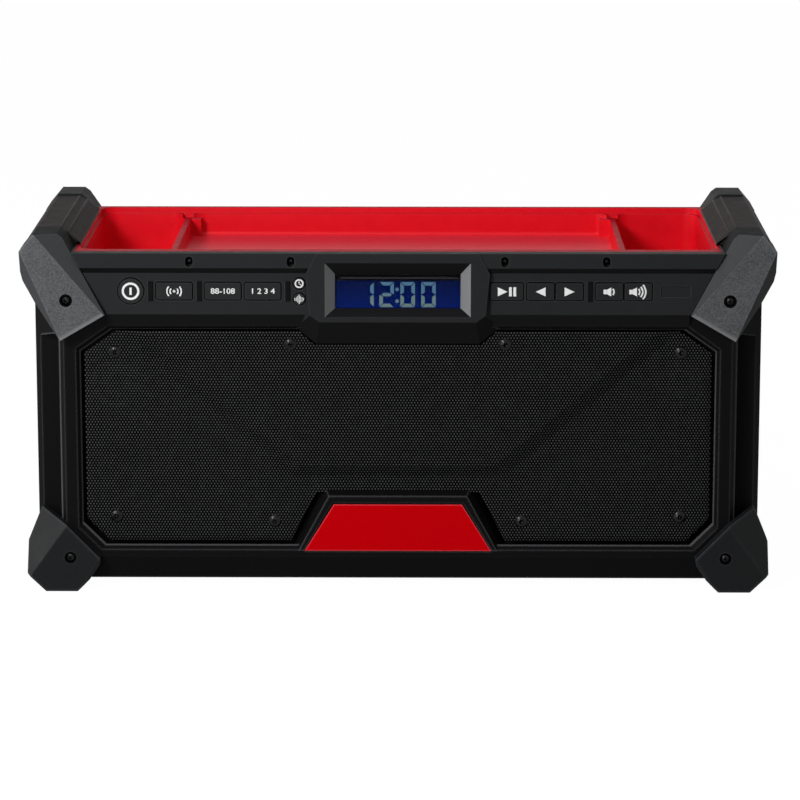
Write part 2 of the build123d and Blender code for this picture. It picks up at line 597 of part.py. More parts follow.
def front_housing(envelope):
    """Front shell: frame round the grille, baffle, and bosses for the screws that come from the back."""
    shell = envelope & block((-HALF_WIDTH, HALF_WIDTH), (-DEPTH, Y_JOINT), (0, HEIGHT))
    shell -= hollow((Y_FACE + WALL, Y_JOINT), Z_OPEN - WALL)
    shell -= hollow((Y_FACE + SILL_WALL, Y_JOINT), Z_BODY + WALL)
    shell -= tapered(opening_outline(BEVEL_WIDTH), Y_FACE - 0.01, opening_outline(), Y_FACE + BEVEL_DEPTH)
    shell -= prism(opening_outline(), "Y", Y_FACE + BEVEL_DEPTH, Y_BAFFLE)
    shell -= block((-X_TRAY, X_TRAY), (Y_FACE, Y_JOINT), (Z_RIM - TRAY_RIM, HEIGHT))
    baffle = block((-X_SIDE + WALL, X_SIDE - WALL), (Y_BAFFLE, Y_BAFFLE + BAFFLE_THICKNESS),
                   (Z_BODY + WALL, Z_PANEL))
    for side in (-1, 1):
        baffle -= rod(side * WOOFER_AT, Z_WOOFER, WOOFER_BORE, (Y_FACE, 0))
        baffle -= rod(side * X_TWEETER, Z_TWEETER, TWEETER_BODY, (Y_FACE, 0))
    shell += baffle
    # The frame of the badge, which the grille is cut round
    rim = tapered(badge_outline(BADGE_RIM, BADGE_RIM_TOP, 0), Y_FACE - BADGE_PROUD,
                  badge_outline(BADGE_RIM + BADGE_SLOPE, BADGE_RIM_TOP + BADGE_SLOPE, 0), Y_BAFFLE)
    shell += rim
    front = Y_FACE - BADGE_PROUD
    shell -= prism(badge_outline(0, 0, 0), "Y", front - 1, front + BADGE_THICKNESS)
    shell -= tapered(badge_outline(BADGE_BEVEL, BADGE_BEVEL, BADGE_BEVEL), front - 0.01,
                     badge_outline(0, 0, 0), front + BADGE_BEVEL)
    # Room for the keys, the display and their board behind the control panel
    shell -= key_room()
    # Room for the slope of the display surround over the grille
    shell -= surround_piece()
    for x, z, y in GRILLE_SCREWS:
        shell += rod(x, z, GRILLE_BOSS_RADIUS, (y + SHEET, Y_BAFFLE))
        shell -= rod(x, z, SCREW_SHANK, (y, Y_BAFFLE - 1))
    for x, z in SHELL_SCREWS:
        shell += rod(x, z, SHELL_COLUMN, (Y_BAFFLE + BAFFLE_THICKNESS, Y_JOINT))
        shell -= rod(x, z, SCREW_SHANK, (Y_JOINT - SHELL_SCREW_BITE, Y_JOINT))
    for x, z in BUMPER_SCREWS:
        shell -= rod(x, z, SCREW_SHANK, (Y_FACE - 1, Y_FACE + BUMPER_SCREW_BITE))
    for x in SLOT_AT:
        for side in (-1, 1):
            shell -= rod(side * x, Z_RIM - SLOT_DROP, SCREW_SHANK, (Y_FACE - 1, Y_FACE + WALL + 1))
    # Four short legs carry the main board
    for side in (-1, 1):
        for y in (Y_MAIN_BOARD[0] + LEG_INSET, Y_MAIN_BOARD[1] - LEG_INSET):
            shell += post(side * (MAIN_BOARD_WIDTH / 2 - LEG_INSET), y, LEG_RADIUS, (Z_BODY + WALL, Z_MAIN_BOARD))
    return shell - bar_holes()


def rear_housing(envelope):
    """Back shell: battery bay with its rails, screw columns, hinge knuckles and the port recess."""
    shell = envelope & block((-HALF_WIDTH, HALF_WIDTH), (Y_JOINT, DEPTH), (0, HEIGHT))
    shell -= hollow((Y_JOINT, Y_BACK - WALL), Z_BODY + WALL)
    shell -= block((-X_TRAY, X_TRAY), (Y_JOINT, Y_TRAY_BACK + TRAY_CLEARANCE), (Z_RIM - TRAY_RIM, HEIGHT))
    # The sloped back edge, a closed bar across the shell behind the tray
    edge, ledge = Y_BACK - BACK_SLOPE_DEPTH, Y_TRAY_INNER + TRAY_WALL + TRAY_CLEARANCE
    foot = Z_RIM - BACK_SLOPE_HEIGHT
    shell += prism(((ledge, Z_RIM - TRAY_RIM), (edge, Z_RIM - TRAY_RIM), (edge, Z_RIM), (Y_BACK, foot),
                    (Y_BACK, foot - 2 * WALL), (Y_BACK - WALL, foot - 2 * WALL), (ledge, Z_RIM - TRAY_RIM - WALL)),
                   "X", -X_POCKET + 1, X_POCKET - 1)
    bay = block((-X_BAY - WALL, X_BAY + WALL), (Y_BAY - WALL, Y_BACK), (Z_BAY - WALL, Z_BAY_TOP + WALL))
    shell += bay
    shell -= block((-X_BAY, X_BAY), (Y_BAY, Y_BACK + 1), (Z_BAY, Z_BAY_TOP))
    # Rails that the battery pack slides along
    for side in (-1, 1):
        shell += pack_rail(side)
    # Slot in the bay's side that takes the latch cam
    shell -= block((X_BAY - 1, X_BAY + WALL + 1), (Y_CAM - LATCH_CAM_THICKNESS - CAM_SLOT_GAP, Y_BACK - WALL),
                   (Z_LATCH - LATCH_CAM_WIDTH / 2 - CAM_SLOT_MARGIN, Z_LATCH + LATCH_CAM_WIDTH / 2 + CAM_SLOT_MARGIN))
    shell -= door_seal()
    for x, z in SHELL_SCREWS:
        shell += rod(x, z, SHELL_COLUMN, (Y_JOINT, Y_BACK - WALL))
        shell -= rod(x, z, SHELL_SCREW_HEAD, (Y_JOINT + SHELL_SCREW_SEAT, Y_BACK + 1))
        shell -= rod(x, z, SCREW_SHANK + SHELL_SCREW_CLEARANCE, (Y_JOINT - 1, Y_JOINT + SHELL_SCREW_SEAT + 1))
    for x, z in BUMPER_SCREWS:
        if z < Z_OPEN:
            shell += block((x - BUMPER_BOSS, x + BUMPER_BOSS), (Y_BACK - BUMPER_SCREW_BITE - WALL, Y_BACK - 1),
                           (Z_BODY + 1, z + BUMPER_BOSS))
        shell -= rod(x, z, SCREW_SHANK, (Y_BACK - BUMPER_SCREW_BITE, Y_BACK + 1))
    shell += knuckles("housing")
    # Port recess with its two sockets, and the ears that hold the flap
    shell -= block((PORT_AT - PORT_WIDTH / 2, PORT_AT + PORT_WIDTH / 2), (Y_BACK - PORT_RECESS, Y_BACK + 1),
                   (Z_PORT - PORT_HEIGHT / 2, Z_PORT + PORT_HEIGHT / 2))
    for side, radius in ((-1, JACK_RADIUS), (1, INLET_RADIUS)):
        shell -= rod(PORT_AT + side * SOCKET_SPACING / 2, Z_PORT, radius, (Y_BACK - WALL - 1, Y_BACK + 1))
    y, z = flap_axis()
    reach = FLAP_BARREL + EAR_WALL
    for side in (-1, 1):
        x = sorted((PORT_AT + side * PORT_WIDTH / 2, PORT_AT + side * (PORT_WIDTH / 2 - EAR_THICKNESS)))
        ear = block(x, (Y_BACK - 0.5, y), (z - reach, z + reach))
        ear += Pos(sum(x) / 2, y, z) * Rot(0, 90, 0) * Cylinder(reach, EAR_THICKNESS)
        shell += ear - flap_barrel(HINGE_RUN)
    return shell - bar_holes()


# ------------------------------------------------------------------ bumpers, rails and grips
def bumper_prism(outline, top, y):
    """The left bumper's full outline between two y values."""
    points = [(-HALF_WIDTH + u, HEIGHT - v if top else v) for u, v in outline]
    return prism(points, "Y", *y)


def corner_at(u, v, y, top):
    """A point on the left bumper, from its outline's own sizes."""
    return (-HALF_WIDTH + u, y, HEIGHT - v if top else v)


def bumper(envelope, top, front):
    """One left corner bumper: a faceted cap over a corner of the housing."""
    side = 1 if front else -1
    face = -DEPTH / 2 * side
    length = BUMPER_LENGTH_FRONT if front else BUMPER_LENGTH_BACK
    y = sorted((face, face + side * length))
    cap = bumper_prism(UPPER_OUTLINE if top else LOWER_OUTLINE, top, y)
    middle = corner_at(BUMPER_SPAN / 2, BUMPER_SPAN / 2, face + side * length / 2, top)
    for facet in (UPPER_FACETS if top else LOWER_FACETS):
        cap = cut_through(cap, *[corner_at(u, v, face + side * d, top) for u, v, d in facet], middle)
    if top and not front:
        edge = DEPTH / 2 - BACK_CHAMFER_DEPTH
        cap = cut_through(cap, (0, edge, HEIGHT), (1, edge, HEIGHT), (0, DEPTH / 2, HEIGHT - BACK_CHAMFER_HEIGHT),
                          middle)
    cap = cap - envelope - handle_bar(-1)
    for x, z in BUMPER_SCREWS:
        if x < 0:
            head_end = face + side * (BUMPER_SCREW_SINK - 1 + SCREW_HEAD_HEIGHT)
            cap -= rod(x, z, SCREW_HEAD, sorted((face - side, head_end)))
            cap -= rod(x, z, SCREW_SHANK, sorted((face, face + side * (PLATE + 1))))
    return largest(cap)


def largest(shape):
    """The biggest solid of a shape that a cut may have left crumbs of."""
    return max(shape.solids(), key=lambda solid: solid.volume)


def bumper_screws():
    """One pan-head screw through each bumper, front and back."""
    screws = []
    for x, z in BUMPER_SCREWS:
        for side in (1, -1):
            face = -DEPTH / 2 * side + side * (BUMPER_SCREW_SINK - 1)
            head = rod(x, z, SCREW_HEAD, sorted((face, face + side * SCREW_HEAD_HEIGHT)))
            shank = rod(x, z, SCREW_SHANK, sorted((face, -side * DEPTH / 2 + side * (PLATE + BUMPER_SCREW_BITE - 1))))
            screws.append(head + shank)
    return group(screws)


def handle_bar(side):
    """Steel bar from the front post to the back post, the core of one rail."""
    x = HALF_WIDTH - BAR_INSET - BAR_WIDTH
    bar = block((x, x + BAR_WIDTH), (Y_FRONT_POST - BAR_LAP, Y_BACK_POST + BAR_LAP),
                (HEIGHT - BAR_DROP - BAR_HEIGHT, HEIGHT - BAR_DROP))
    return bar if side > 0 else mirrored(bar)


def grip(side):
    """Rubber sleeve on one handle bar, with two thin ridges along its top."""
    edge, flank = Z_RIM + TRAY_CLEARANCE, X_POCKET + GRIP_FLANK[0]
    outer = tuple((HALF_WIDTH - u, HEIGHT - v) for u, v in GRIP_OUTLINE)
    inner = ((X_POCKET - GRIP_LIP, edge), (X_POCKET + GRIP_CLEARANCE, edge), (flank, Z_RIM - GRIP_EDGE),
             (flank + GRIP_FLANK[1], outer[0][1]))
    sleeve = prism(outer + inner, "Y", Y_FRONT_POST, Y_BACK_POST)
    for u, v in GRIP_RIDGES:
        x, z = HALF_WIDTH - u, HEIGHT - v
        sleeve += block((x - GRIP_RIDGE_WIDTH / 2, x + GRIP_RIDGE_WIDTH / 2),
                        (Y_FRONT_POST + GRIP_RIDGE_END, Y_BACK_POST - GRIP_RIDGE_END), (z - 1, z + GRIP_RIDGE))
    sleeve -= handle_bar(1)
    return sleeve if side > 0 else mirrored(sleeve)


# ------------------------------------------------------------------ control panel, keys and display
def panel_end():
    """How far the panel reaches at its rim, at the keys' foot and at its lower edge."""
    (u0, v0), (u1, v1) = UPPER_OUTLINE[3], UPPER_OUTLINE[4]
    at_rim = u0 + (HEIGHT - Z_RIM - v0) * (u1 - u0) / (v1 - v0)
    return HALF_WIDTH - at_rim - 0.3, HALF_WIDTH - u1 - 0.3


def surround_solid():
    """The hexagonal block round the display, with the skirt that slopes down over the grille."""
    waist, top = SURROUND_WAIST / 2, SURROUND_TOP / 2
    front = symmetric(((SURROUND_FOOT / 2, Z_KEYS - SURROUND_CHIN), (waist - SURROUND_TUCK, Z_KEYS), (waist, Z_BROW),
                       (top, Z_RIM)))
    back = symmetric(((SURROUND_HEM / 2, Z_PANEL - SURROUND_DROP), (SURROUND_SKIRT / 2, Z_PANEL - 1),
                      (waist + SURROUND_FLARE, Z_BROW), (top + SURROUND_FLARE, Z_RIM)))
    return tapered(front, Y_SURROUND, back, Y_FACE + WALL)


def window_outline(grow):
    """The display window's rectangle."""
    x, z = WINDOW_WIDTH / 2 + grow, WINDOW_HEIGHT / 2 + grow
    return ((-x, Z_WINDOW - z), (x, Z_WINDOW - z), (x, Z_WINDOW + z), (-x, Z_WINDOW + z))


def surround_piece():
    """The part of the surround that is in front of the housing or under the panel."""
    return surround_solid() - block((-HALF_WIDTH, HALF_WIDTH), (Y_FACE, 0), (Z_PANEL, HEIGHT))


def key_room():
    """The long room for the keys' flanges, the switches and the display, through panel and housing."""
    return block((-ROW_END, ROW_END), (Y_PANEL_BACK, Y_BOARD), (Z_WINDOW - KEY_ROOM / 2, Z_WINDOW + KEY_ROOM / 2))


def key_places():
    """(name, x, z, width, height) of each key."""
    keys = []
    for name, x, width in LEFT_PLACES + RIGHT_PLACES:
        if name == "rounds":
            lift = KEY_HEIGHT / 2 - 0.5
            keys.append(("clock_button", x, Z_ROW + lift, KEY_ROUND, KEY_ROUND))
            keys.append(("equalizer_button", x, Z_ROW - lift, KEY_ROUND, KEY_ROUND))
        elif name == "power":
            keys.append(("power_button", x, Z_ROW, KEY_POWER, KEY_POWER))
        elif name not in ("rib", "plate"):
            keys.append((name + "_button", x, Z_ROW, width, KEY_HEIGHT))
    return keys


def key_solid(x, z, width, height, grow, y):
    """A key's body, round or rectangular, grown by a clearance or a flange."""
    if width == height:
        return rod(x, z, width / 2 + grow, y)
    return rounded_key(x, z, width + 2 * grow, height + 2 * grow, KEY_RADIUS + grow, y)


def key(x, z, width, height):
    """One key: a cap that stands proud of the panel, and a flange behind it."""
    cap = key_solid(x, z, width, height, 0, (Y_KEYS - KEY_PROUD, Y_PANEL_BACK + KEY_FLANGE_THICKNESS / 2))
    rim = cap.faces().sort_by(Axis.Y)[0].edges()
    cap = chamfer(rim, KEY_EDGE)
    flange_front = Y_PANEL_BACK + SWITCH_CLEARANCE
    flange = min(KEY_FLANGE, PAIR_GAP / 2 - 0.1, ROW_GAP / 2)
    return cap + key_solid(x, z, width, height, flange, (flange_front, flange_front + KEY_FLANGE_THICKNESS))


def control_panel():
    """Panel across the top of the front: key strip, top strip and display surround in one moulding."""
    rim, foot = panel_end()
    profile = ((Y_FACE, Z_PANEL), (Y_KEYS, Z_KEYS), (Y_KEYS, Z_BROW), (Y_STRIP, Z_STRIP), (Y_STRIP, Z_RIM),
               (Y_FACE, Z_RIM))
    outline = symmetric(((foot, Z_PANEL), (foot, Z_KEYS), (rim, Z_RIM)))
    panel = prism(profile, "X", -HALF_WIDTH, HALF_WIDTH) & prism(outline, "Y", -DEPTH, 0)
    panel += surround_piece()
    # Hollow behind the key strip, then the keys' holes
    panel -= key_room()
    for name, x, z, width, height in key_places():
        panel -= key_solid(x, z, width, height, KEY_CLEARANCE, (Y_STRIP - 1, Y_FACE))
    for name, x, width in LEFT_PLACES + RIGHT_PLACES:
        if name == "rib":
            panel += block((x - width / 2, x + width / 2), (Y_KEYS - RIB_PROUD, Y_KEYS + 1),
                           (Z_ROW - RIB_HEIGHT / 2, Z_ROW + RIB_HEIGHT / 2))
        elif name == "plate":
            panel -= block((x - width / 2, x + width / 2), (Y_KEYS - 1, Y_KEYS + PLATE_DEPTH),
                           (Z_ROW - PLATE_HEIGHT / 2, Z_ROW + PLATE_HEIGHT / 2))
    for x in SLOT_AT:
        for side in (-1, 1):
            panel -= slot(side * x, Z_RIM - SLOT_DROP, SLOT_WIDTH, SLOT_HEIGHT, (Y_STRIP - 1, Y_STRIP + SLOT_DEPTH))
            panel -= rod(side * x, Z_RIM - SLOT_DROP, SCREW_SHANK, (Y_STRIP, Y_FACE + 1))
    # The splayed window and the pane's seat behind it
    mouth = tuple((x, z + WINDOW_LIFT) for x, z in window_outline(WINDOW_SPLAY))
    panel -= tapered(mouth, Y_SURROUND - 0.01, window_outline(0), Y_PANE)
    panel -= prism(window_outline(WINDOW_LAP), "Y", Y_PANE, Y_FACE + WALL)
    return panel


def panel_screws():
    """Small screws in the slots of the top strip."""
    screws = []
    for x in SLOT_AT:
        for side in (-1, 1):
            z = Z_RIM - SLOT_DROP
            head = (SLOT_WIDTH - KEY_CLEARANCE) / 2
            screws.append(rod(side * x, z, head, (Y_STRIP + SLOT_DEPTH / 2, Y_STRIP + SLOT_DEPTH))
                          + rod(side * x, z, SCREW_SHANK, (Y_STRIP + SLOT_DEPTH - 0.5, Y_FACE + WALL)))
    return group(screws)


def display_window():
    """Clear pane behind the splayed window."""
    return prism(window_outline(WINDOW_LAP - PANE_CLEARANCE), "Y", Y_PANE, Y_PANE + WINDOW_THICKNESS)


def lcd_module():
    """Display module, which stands in a cut-out of the key board and looks through the pane."""
    front = Y_PANE + WINDOW_THICKNESS + LCD_GAP
    return prism(window_outline(LCD_MARGIN), "Y", front, front + LCD_THICKNESS)


def button_board():
    """Circuit board behind the keys, seated on the back of the housing's front wall."""
    x, z = ROW_END + BOARD_END, KEY_ROOM / 2 + BOARD_LAP
    board = block((-x, x), (Y_BOARD, Y_BOARD + BOARD), (Z_WINDOW - z, Z_WINDOW + z))
    return board - prism(window_outline(LCD_MARGIN + PANE_CLEARANCE), "Y", Y_BOARD - 1, Y_BOARD + BOARD + 1)


def tact_switches():
    """One switch behind each key, the key's travel away from its flange."""
    top = Y_PANEL_BACK + SWITCH_CLEARANCE + KEY_FLANGE_THICKNESS + KEY_TRAVEL + SWITCH_CLEARANCE
    half, front = SWITCH_WIDTH / 2, top + SWITCH_PLUNGER_HEIGHT
    switches = []
    for name, x, z, width, height in key_places():
        body = block((x - half, x + half), (front, Y_BOARD), (z - half, z + half))
        switches.append(body + rod(x, z, SWITCH_PLUNGER, (top, front)))
    return group(switches)


# ------------------------------------------------------------------ grille and badge
def raised_outline(grow, drop=0.0):
    """The raised middle of the grille: wide at the top, narrow over the badge. Drop lowers its upper edge."""
    foot, top = Z_OPEN + GRILLE_FOOT_RISE - grow / 2, Z_OPEN_TOP - GRILLE_GAP - GRILLE_TOP_GAP - drop
    return symmetric(((GRILLE_FOOT_HALF + grow, foot), (GRILLE_TOP_HALF + grow, top)))


def speaker_grille():
    """Sheet-steel grille with a raised middle, cut round the badge frame and the display surround."""
    low, high = Y_SHEET, Y_SHEET + SHEET
    sheet = prism(opening_outline(-GRILLE_GAP), "Y", low, high)
    crown = tapered(raised_outline(0), low - GRILLE_RAISE, raised_outline(GRILLE_FOLD), low + 0.4)
    inside = tapered(raised_outline(-SHEET, SHEET), low - GRILLE_RAISE + SHEET,
                     raised_outline(GRILLE_FOLD - SHEET, SHEET), high)
    # The raised middle stays inside the sheet's outline, and its hollow leaves a wall of one sheet there
    crown = crown & prism(opening_outline(-GRILLE_GAP), "Y", low - 2 * GRILLE_RAISE, high)
    inside = inside & prism(opening_outline(-GRILLE_GAP - SHEET), "Y", low - 2 * GRILLE_RAISE, high)
    sheet = (sheet + crown) - inside
    gap = 2 * GRILLE_GAP
    sheet -= tapered(badge_outline(BADGE_RIM + gap, BADGE_RIM_TOP + gap, 1), Y_FACE - BADGE_PROUD,
                     badge_outline(BADGE_RIM + BADGE_SLOPE + gap, BADGE_RIM_TOP + BADGE_SLOPE + gap, 1), Y_BAFFLE)
    sheet -= prism(symmetric(((SURROUND_HEM / 2 + gap, Z_PANEL - SURROUND_DROP - gap),
                              (SURROUND_SKIRT / 2 + gap, Z_PANEL - 1), (SURROUND_SKIRT / 2 + gap, HEIGHT))),
                   "Y", Y_FACE, Y_BAFFLE)
    for x, z, y in GRILLE_SCREWS:
        sheet -= rod(x, z, SCREW_SHANK + 0.2, (y - 1, high + 1))
    return sheet


def grille_screws():
    """Pan-head screws of the grille."""
    screws = []
    for x, z, front in GRILLE_SCREWS:
        screws.append(rod(x, z, GRILLE_SCREW_RADIUS, (front - GRILLE_SCREW_HEIGHT, front))
                      + rod(x, z, SCREW_SHANK, (front, Y_BAFFLE - 1)))
    return group(screws)


def badge_plate():
    """Red plate in its frame at the foot of the grille."""
    front, gap = Y_FACE - BADGE_PROUD, -BADGE_CLEARANCE
    return prism(badge_outline(gap, gap, gap), "Y", front, front + BADGE_THICKNESS)


# ------------------------------------------------------------------ tray
def tray_room(x, floor):
    """One compartment of the tray, between two x values and down to its floor, with round corners."""
    room = block(x, (Y_TRAY_FRONT, Y_TRAY_INNER), (floor, HEIGHT))
    room = fillet(room.edges().filter_by(Axis.Z), TRAY_CORNER)
    return fillet(room.edges().group_by(Axis.Z)[0], TRAY_FLOOR_RADIUS)


def top_tray():
    """Tray with a shallow middle and two deep ends. Its rim lies on the housing."""
    end = X_TRAY - TRAY_END_WALL
    half = TRAY_DIVIDER_AT - TRAY_END_WALL / 2
    front = Y_TRAY_FRONT
    tray = block((-X_TRAY, X_TRAY), (Y_FACE, Y_TRAY_BACK), (Z_RIM - TRAY_RIM, Z_RIM))
    y = (front - TRAY_WALL, Y_TRAY_INNER + TRAY_WALL)
    for side in (-1, 1):
        x = sorted((side * (half - 0.5), side * (end + TRAY_WALL)))
        tray += block(x, y, (Z_TRAY_SIDE - TRAY_WALL, Z_RIM))
    tray += block((-half, half), y, (Z_TRAY_MIDDLE - TRAY_WALL, Z_RIM))
    tray -= tray_room((-half, half), Z_TRAY_MIDDLE)
    for side in (-1, 1):
        tray -= tray_room(sorted((side * (TRAY_DIVIDER_AT + TRAY_END_WALL / 2), side * end)), Z_TRAY_SIDE)
    # A step all round under the rim, which leaves the dividers lower than the rim
    step = block((-end - TRAY_STEP, end + TRAY_STEP), (front - TRAY_STEP, Y_TRAY_INNER + TRAY_STEP),
                 (Z_RIM - TRAY_STEP_DROP, HEIGHT))
    tray -= fillet(step.edges().filter_by(Axis.Z), TRAY_CORNER)
    for side in (-1, 1):
        middle = side * TRAY_DIVIDER_AT
        tray -= prism(((front, Z_RIM - TRAY_STEP_DROP), (Y_TRAY_INNER, Z_RIM - TRAY_DIVIDER_DROP),
                       (Y_TRAY_INNER, HEIGHT), (front, HEIGHT)),
                      "X", middle - TRAY_END_WALL, middle + TRAY_END_WALL)
        # Each divider ends in a small block at the back wall of the middle compartment
        x = sorted((middle, side * (half - TRAY_BLOCK)))
        tray += block(x, (Y_TRAY_INNER - TRAY_BLOCK, Y_TRAY_INNER + 1),
                      (Z_TRAY_MIDDLE - 1, Z_RIM - TRAY_DIVIDER_DROP))
    return tray


# ------------------------------------------------------------------ speakers
def woofer_frame(side):
    """Pressed basket with a mounting flange in front of the baffle."""
    front = Y_BAFFLE - FLANGE_THICKNESS
    neck, back = Y_BAFFLE + BASKET_NECK, Y_BAFFLE + WOOFER_BASKET_DEPTH
    outer, coil = WOOFER_BORE - BASKET_CLEARANCE, WOOFER_COIL + 2
    basket = turned(((WOOFER_ROLL_OUT, front), (WOOFER_FLANGE, front), (WOOFER_FLANGE, Y_BAFFLE), (outer, Y_BAFFLE),
                     (outer, neck), (WOOFER_BASKET_BACK, back - BASKET_WALL), (WOOFER_BASKET_BACK, back),
                     (coil, back), (coil, back - BASKET_WALL), (WOOFER_BASKET_BACK - BASKET_WALL, back - BASKET_WALL),
                     (outer - BASKET_WALL, neck), (outer - BASKET_WALL, Y_BAFFLE), (WOOFER_ROLL_OUT, Y_BAFFLE)),
                    side * WOOFER_AT, Z_WOOFER)
    length = back - neck - 3 * BASKET_WALL
    for turn in range(4):
        window = Pos(side * WOOFER_AT, (neck + back) / 2, Z_WOOFER) * Rot(0, 45 + 90 * turn, 0)
        basket -= window * Pos(WOOFER_BORE, 0, 0) * Box(WOOFER_BORE, length, BASKET_WINDOW)
    return basket


def woofer_magnet(side):
    """Ring magnet with its back plate and pole, behind the basket."""
    front = Y_BAFFLE + WOOFER_BASKET_DEPTH
    back, gap = front + WOOFER_MAGNET_DEPTH, WOOFER_COIL + 2
    return turned(((0, front - POLE_TIP), (WOOFER_POLE, front - POLE_TIP), (WOOFER_POLE, back - POLE_BASE),
                   (gap, back - POLE_BASE), (gap, front), (WOOFER_MAGNET, front), (WOOFER_MAGNET, back), (0, back)),
                  side * WOOFER_AT, Z_WOOFER)


def woofer_cone(side):
    """Paper cone with dust cap and voice-coil tube, the part of the speaker that moves."""
    front = Y_BAFFLE - FLANGE_THICKNESS + CONE_INSET
    neck, cap = front + WOOFER_CONE_DEPTH, front + WOOFER_CONE_DEPTH - CONE_DOME
    coil_end = Y_BAFFLE + WOOFER_BASKET_DEPTH + COIL_REACH
    inner, outer = WOOFER_COIL - COIL_WALL / 2, WOOFER_COIL + COIL_WALL / 2
    return turned(((0, cap), (inner, neck - CONE_WALL), (WOOFER_ROLL_IN, front), (WOOFER_ROLL_IN, front + CONE_WALL),
                   (outer, neck + CONE_WALL), (outer, coil_end), (inner, coil_end), (inner, neck + CONE_WALL),
                   (0, cap + CONE_WALL)), side * WOOFER_AT, Z_WOOFER)


def woofer_surround(side):
    """Half-roll rubber surround between cone and basket."""
    foot = Y_BAFFLE - FLANGE_THICKNESS + CONE_INSET
    crest = Y_BAFFLE - FLANGE_THICKNESS - ROLL_HEIGHT
    inner, outer = WOOFER_ROLL_IN + SURROUND_GAP, WOOFER_ROLL_OUT - SURROUND_GAP
    under = ROLL_SLOPE + ROLL_WALL / 2
    return turned(((inner, foot), (inner + ROLL_SLOPE, crest), (outer - ROLL_SLOPE, crest), (outer, foot),
                   (outer, foot + ROLL_WALL), (outer - under, crest + ROLL_WALL), (inner + under, crest + ROLL_WALL),
                   (inner, foot + ROLL_WALL)), side * WOOFER_AT, Z_WOOFER)


def tweeter(side):
    """Tweeter with a ring flange, a dished face and a small dome."""
    front, back = Y_BAFFLE - FLANGE_THICKNESS, Y_BAFFLE + TWEETER_DEPTH
    lip, dish, body = front - TWEETER_LIP_PROUD, front + TWEETER_DISH, TWEETER_BODY - SOCKET_CLEARANCE
    return turned(((0, front), (TWEETER_DOME, dish), (TWEETER_RING - TWEETER_LIP, dish), (TWEETER_RING, lip),
                   (TWEETER_RING + TWEETER_LIP, lip), (TWEETER_RING + TWEETER_LIP, front), (TWEETER_FLANGE, front),
                   (TWEETER_FLANGE, Y_BAFFLE), (body, Y_BAFFLE), (body, back), (0, back)),
                  side * X_TWEETER, Z_TWEETER)


def speaker_screws():
    """Screws of the woofer flanges, into the baffle."""
    screws = []
    reach = (WOOFER_FLANGE + WOOFER_BORE) / 2 / 2 ** 0.5
    front = Y_BAFFLE - FLANGE_THICKNESS
    for side in (-1, 1):
        for x in (-reach, reach):
            for z in (-reach, reach):
                screws.append(rod(side * WOOFER_AT + x, Z_WOOFER + z, SPEAKER_SCREW_RADIUS,
                                  (front - SPEAKER_SCREW_HEIGHT, front)))
    return group(screws)


# ------------------------------------------------------------------ battery bay
def pack_rail(side):
    """One of the two lipped rails on the bay's front wall. The pack's foot runs behind the lips."""
    z = Z_PACK + side * (RAIL_HALF + RUN)
    outer, inner = z + side * RAIL_HEIGHT, z - side * RAIL_LIP
    x, back = (-X_BAY, -X_BAY + RAIL_LENGTH), Y_BAY + RAIL_DEPTH
    web = block(x, (Y_BAY - 1, back), sorted((z, outer)))
    return web + block(x, (back - RAIL_LIP_THICKNESS, back), sorted((inner, outer)))


def terminal_blades(grow, tip):
    """The contact blades, or the slots that they slide into."""
    x, middle = (-X_BAY + 2, X_PACK + tip), Y_BAY + TERMINAL_FRONT + TERMINAL_DEPTH / 2
    y, half = (middle - BLADE_WIDTH / 2 - grow, middle + BLADE_WIDTH / 2 + grow), BLADE_THICKNESS / 2 + grow
    places = [Z_PACK + BLADE_PITCH * (k - (BLADES - 1) / 2) for k in range(BLADES)]
    return Part() + [block(x, y, (z - half, z + half)) for z in places]


def terminal_block():
    """Contact block on the bay's side, with its blades."""
    front = Y_BAY + TERMINAL_FRONT
    base = block((-X_BAY, X_PACK - RUN), (front, front + TERMINAL_DEPTH),
                 (Z_PACK - TERMINAL_HEIGHT / 2, Z_PACK + TERMINAL_HEIGHT / 2))
    return base + terminal_blades(0.0, BLADE_REACH)


def battery_pack():
    """Battery pack: a block with cut edges on a foot that runs in the rails."""
    x, y = (X_PACK, X_PACK + PACK_WIDTH), (Y_BAY + RAIL_DEPTH + RUN, Y_BAY + RAIL_DEPTH + RUN + PACK_DEPTH)
    body = block(x, y, (Z_PACK - PACK_HEIGHT / 2, Z_PACK + PACK_HEIGHT / 2))
    body = chamfer(body.edges().group_by(Axis.Y)[-1], PACK_EDGE)
    neck = RAIL_HALF - RAIL_LIP
    body += block(x, (Y_BAY + RUN, y[0] + 1), (Z_PACK - neck, Z_PACK + neck))
    body += block(x, (Y_BAY + RUN, Y_BAY + RAIL_DEPTH - RAIL_LIP_THICKNESS - RUN),
                  (Z_PACK - RAIL_HALF, Z_PACK + RAIL_HALF))
    for k in range(PACK_GROOVES):
        z = Z_PACK + PACK_GROOVE_PITCH * (k - (PACK_GROOVES - 1) / 2)
        body -= block((x[0] + PACK_GROOVE_END, x[1] - PACK_GROOVE_END), (y[1] - PACK_GROOVE_DEPTH, y[1] + 1),
                      (z - PACK_GROOVE_WIDTH / 2, z + PACK_GROOVE_WIDTH / 2))
    return body - terminal_blades(RUN, BLADE_REACH + 1)


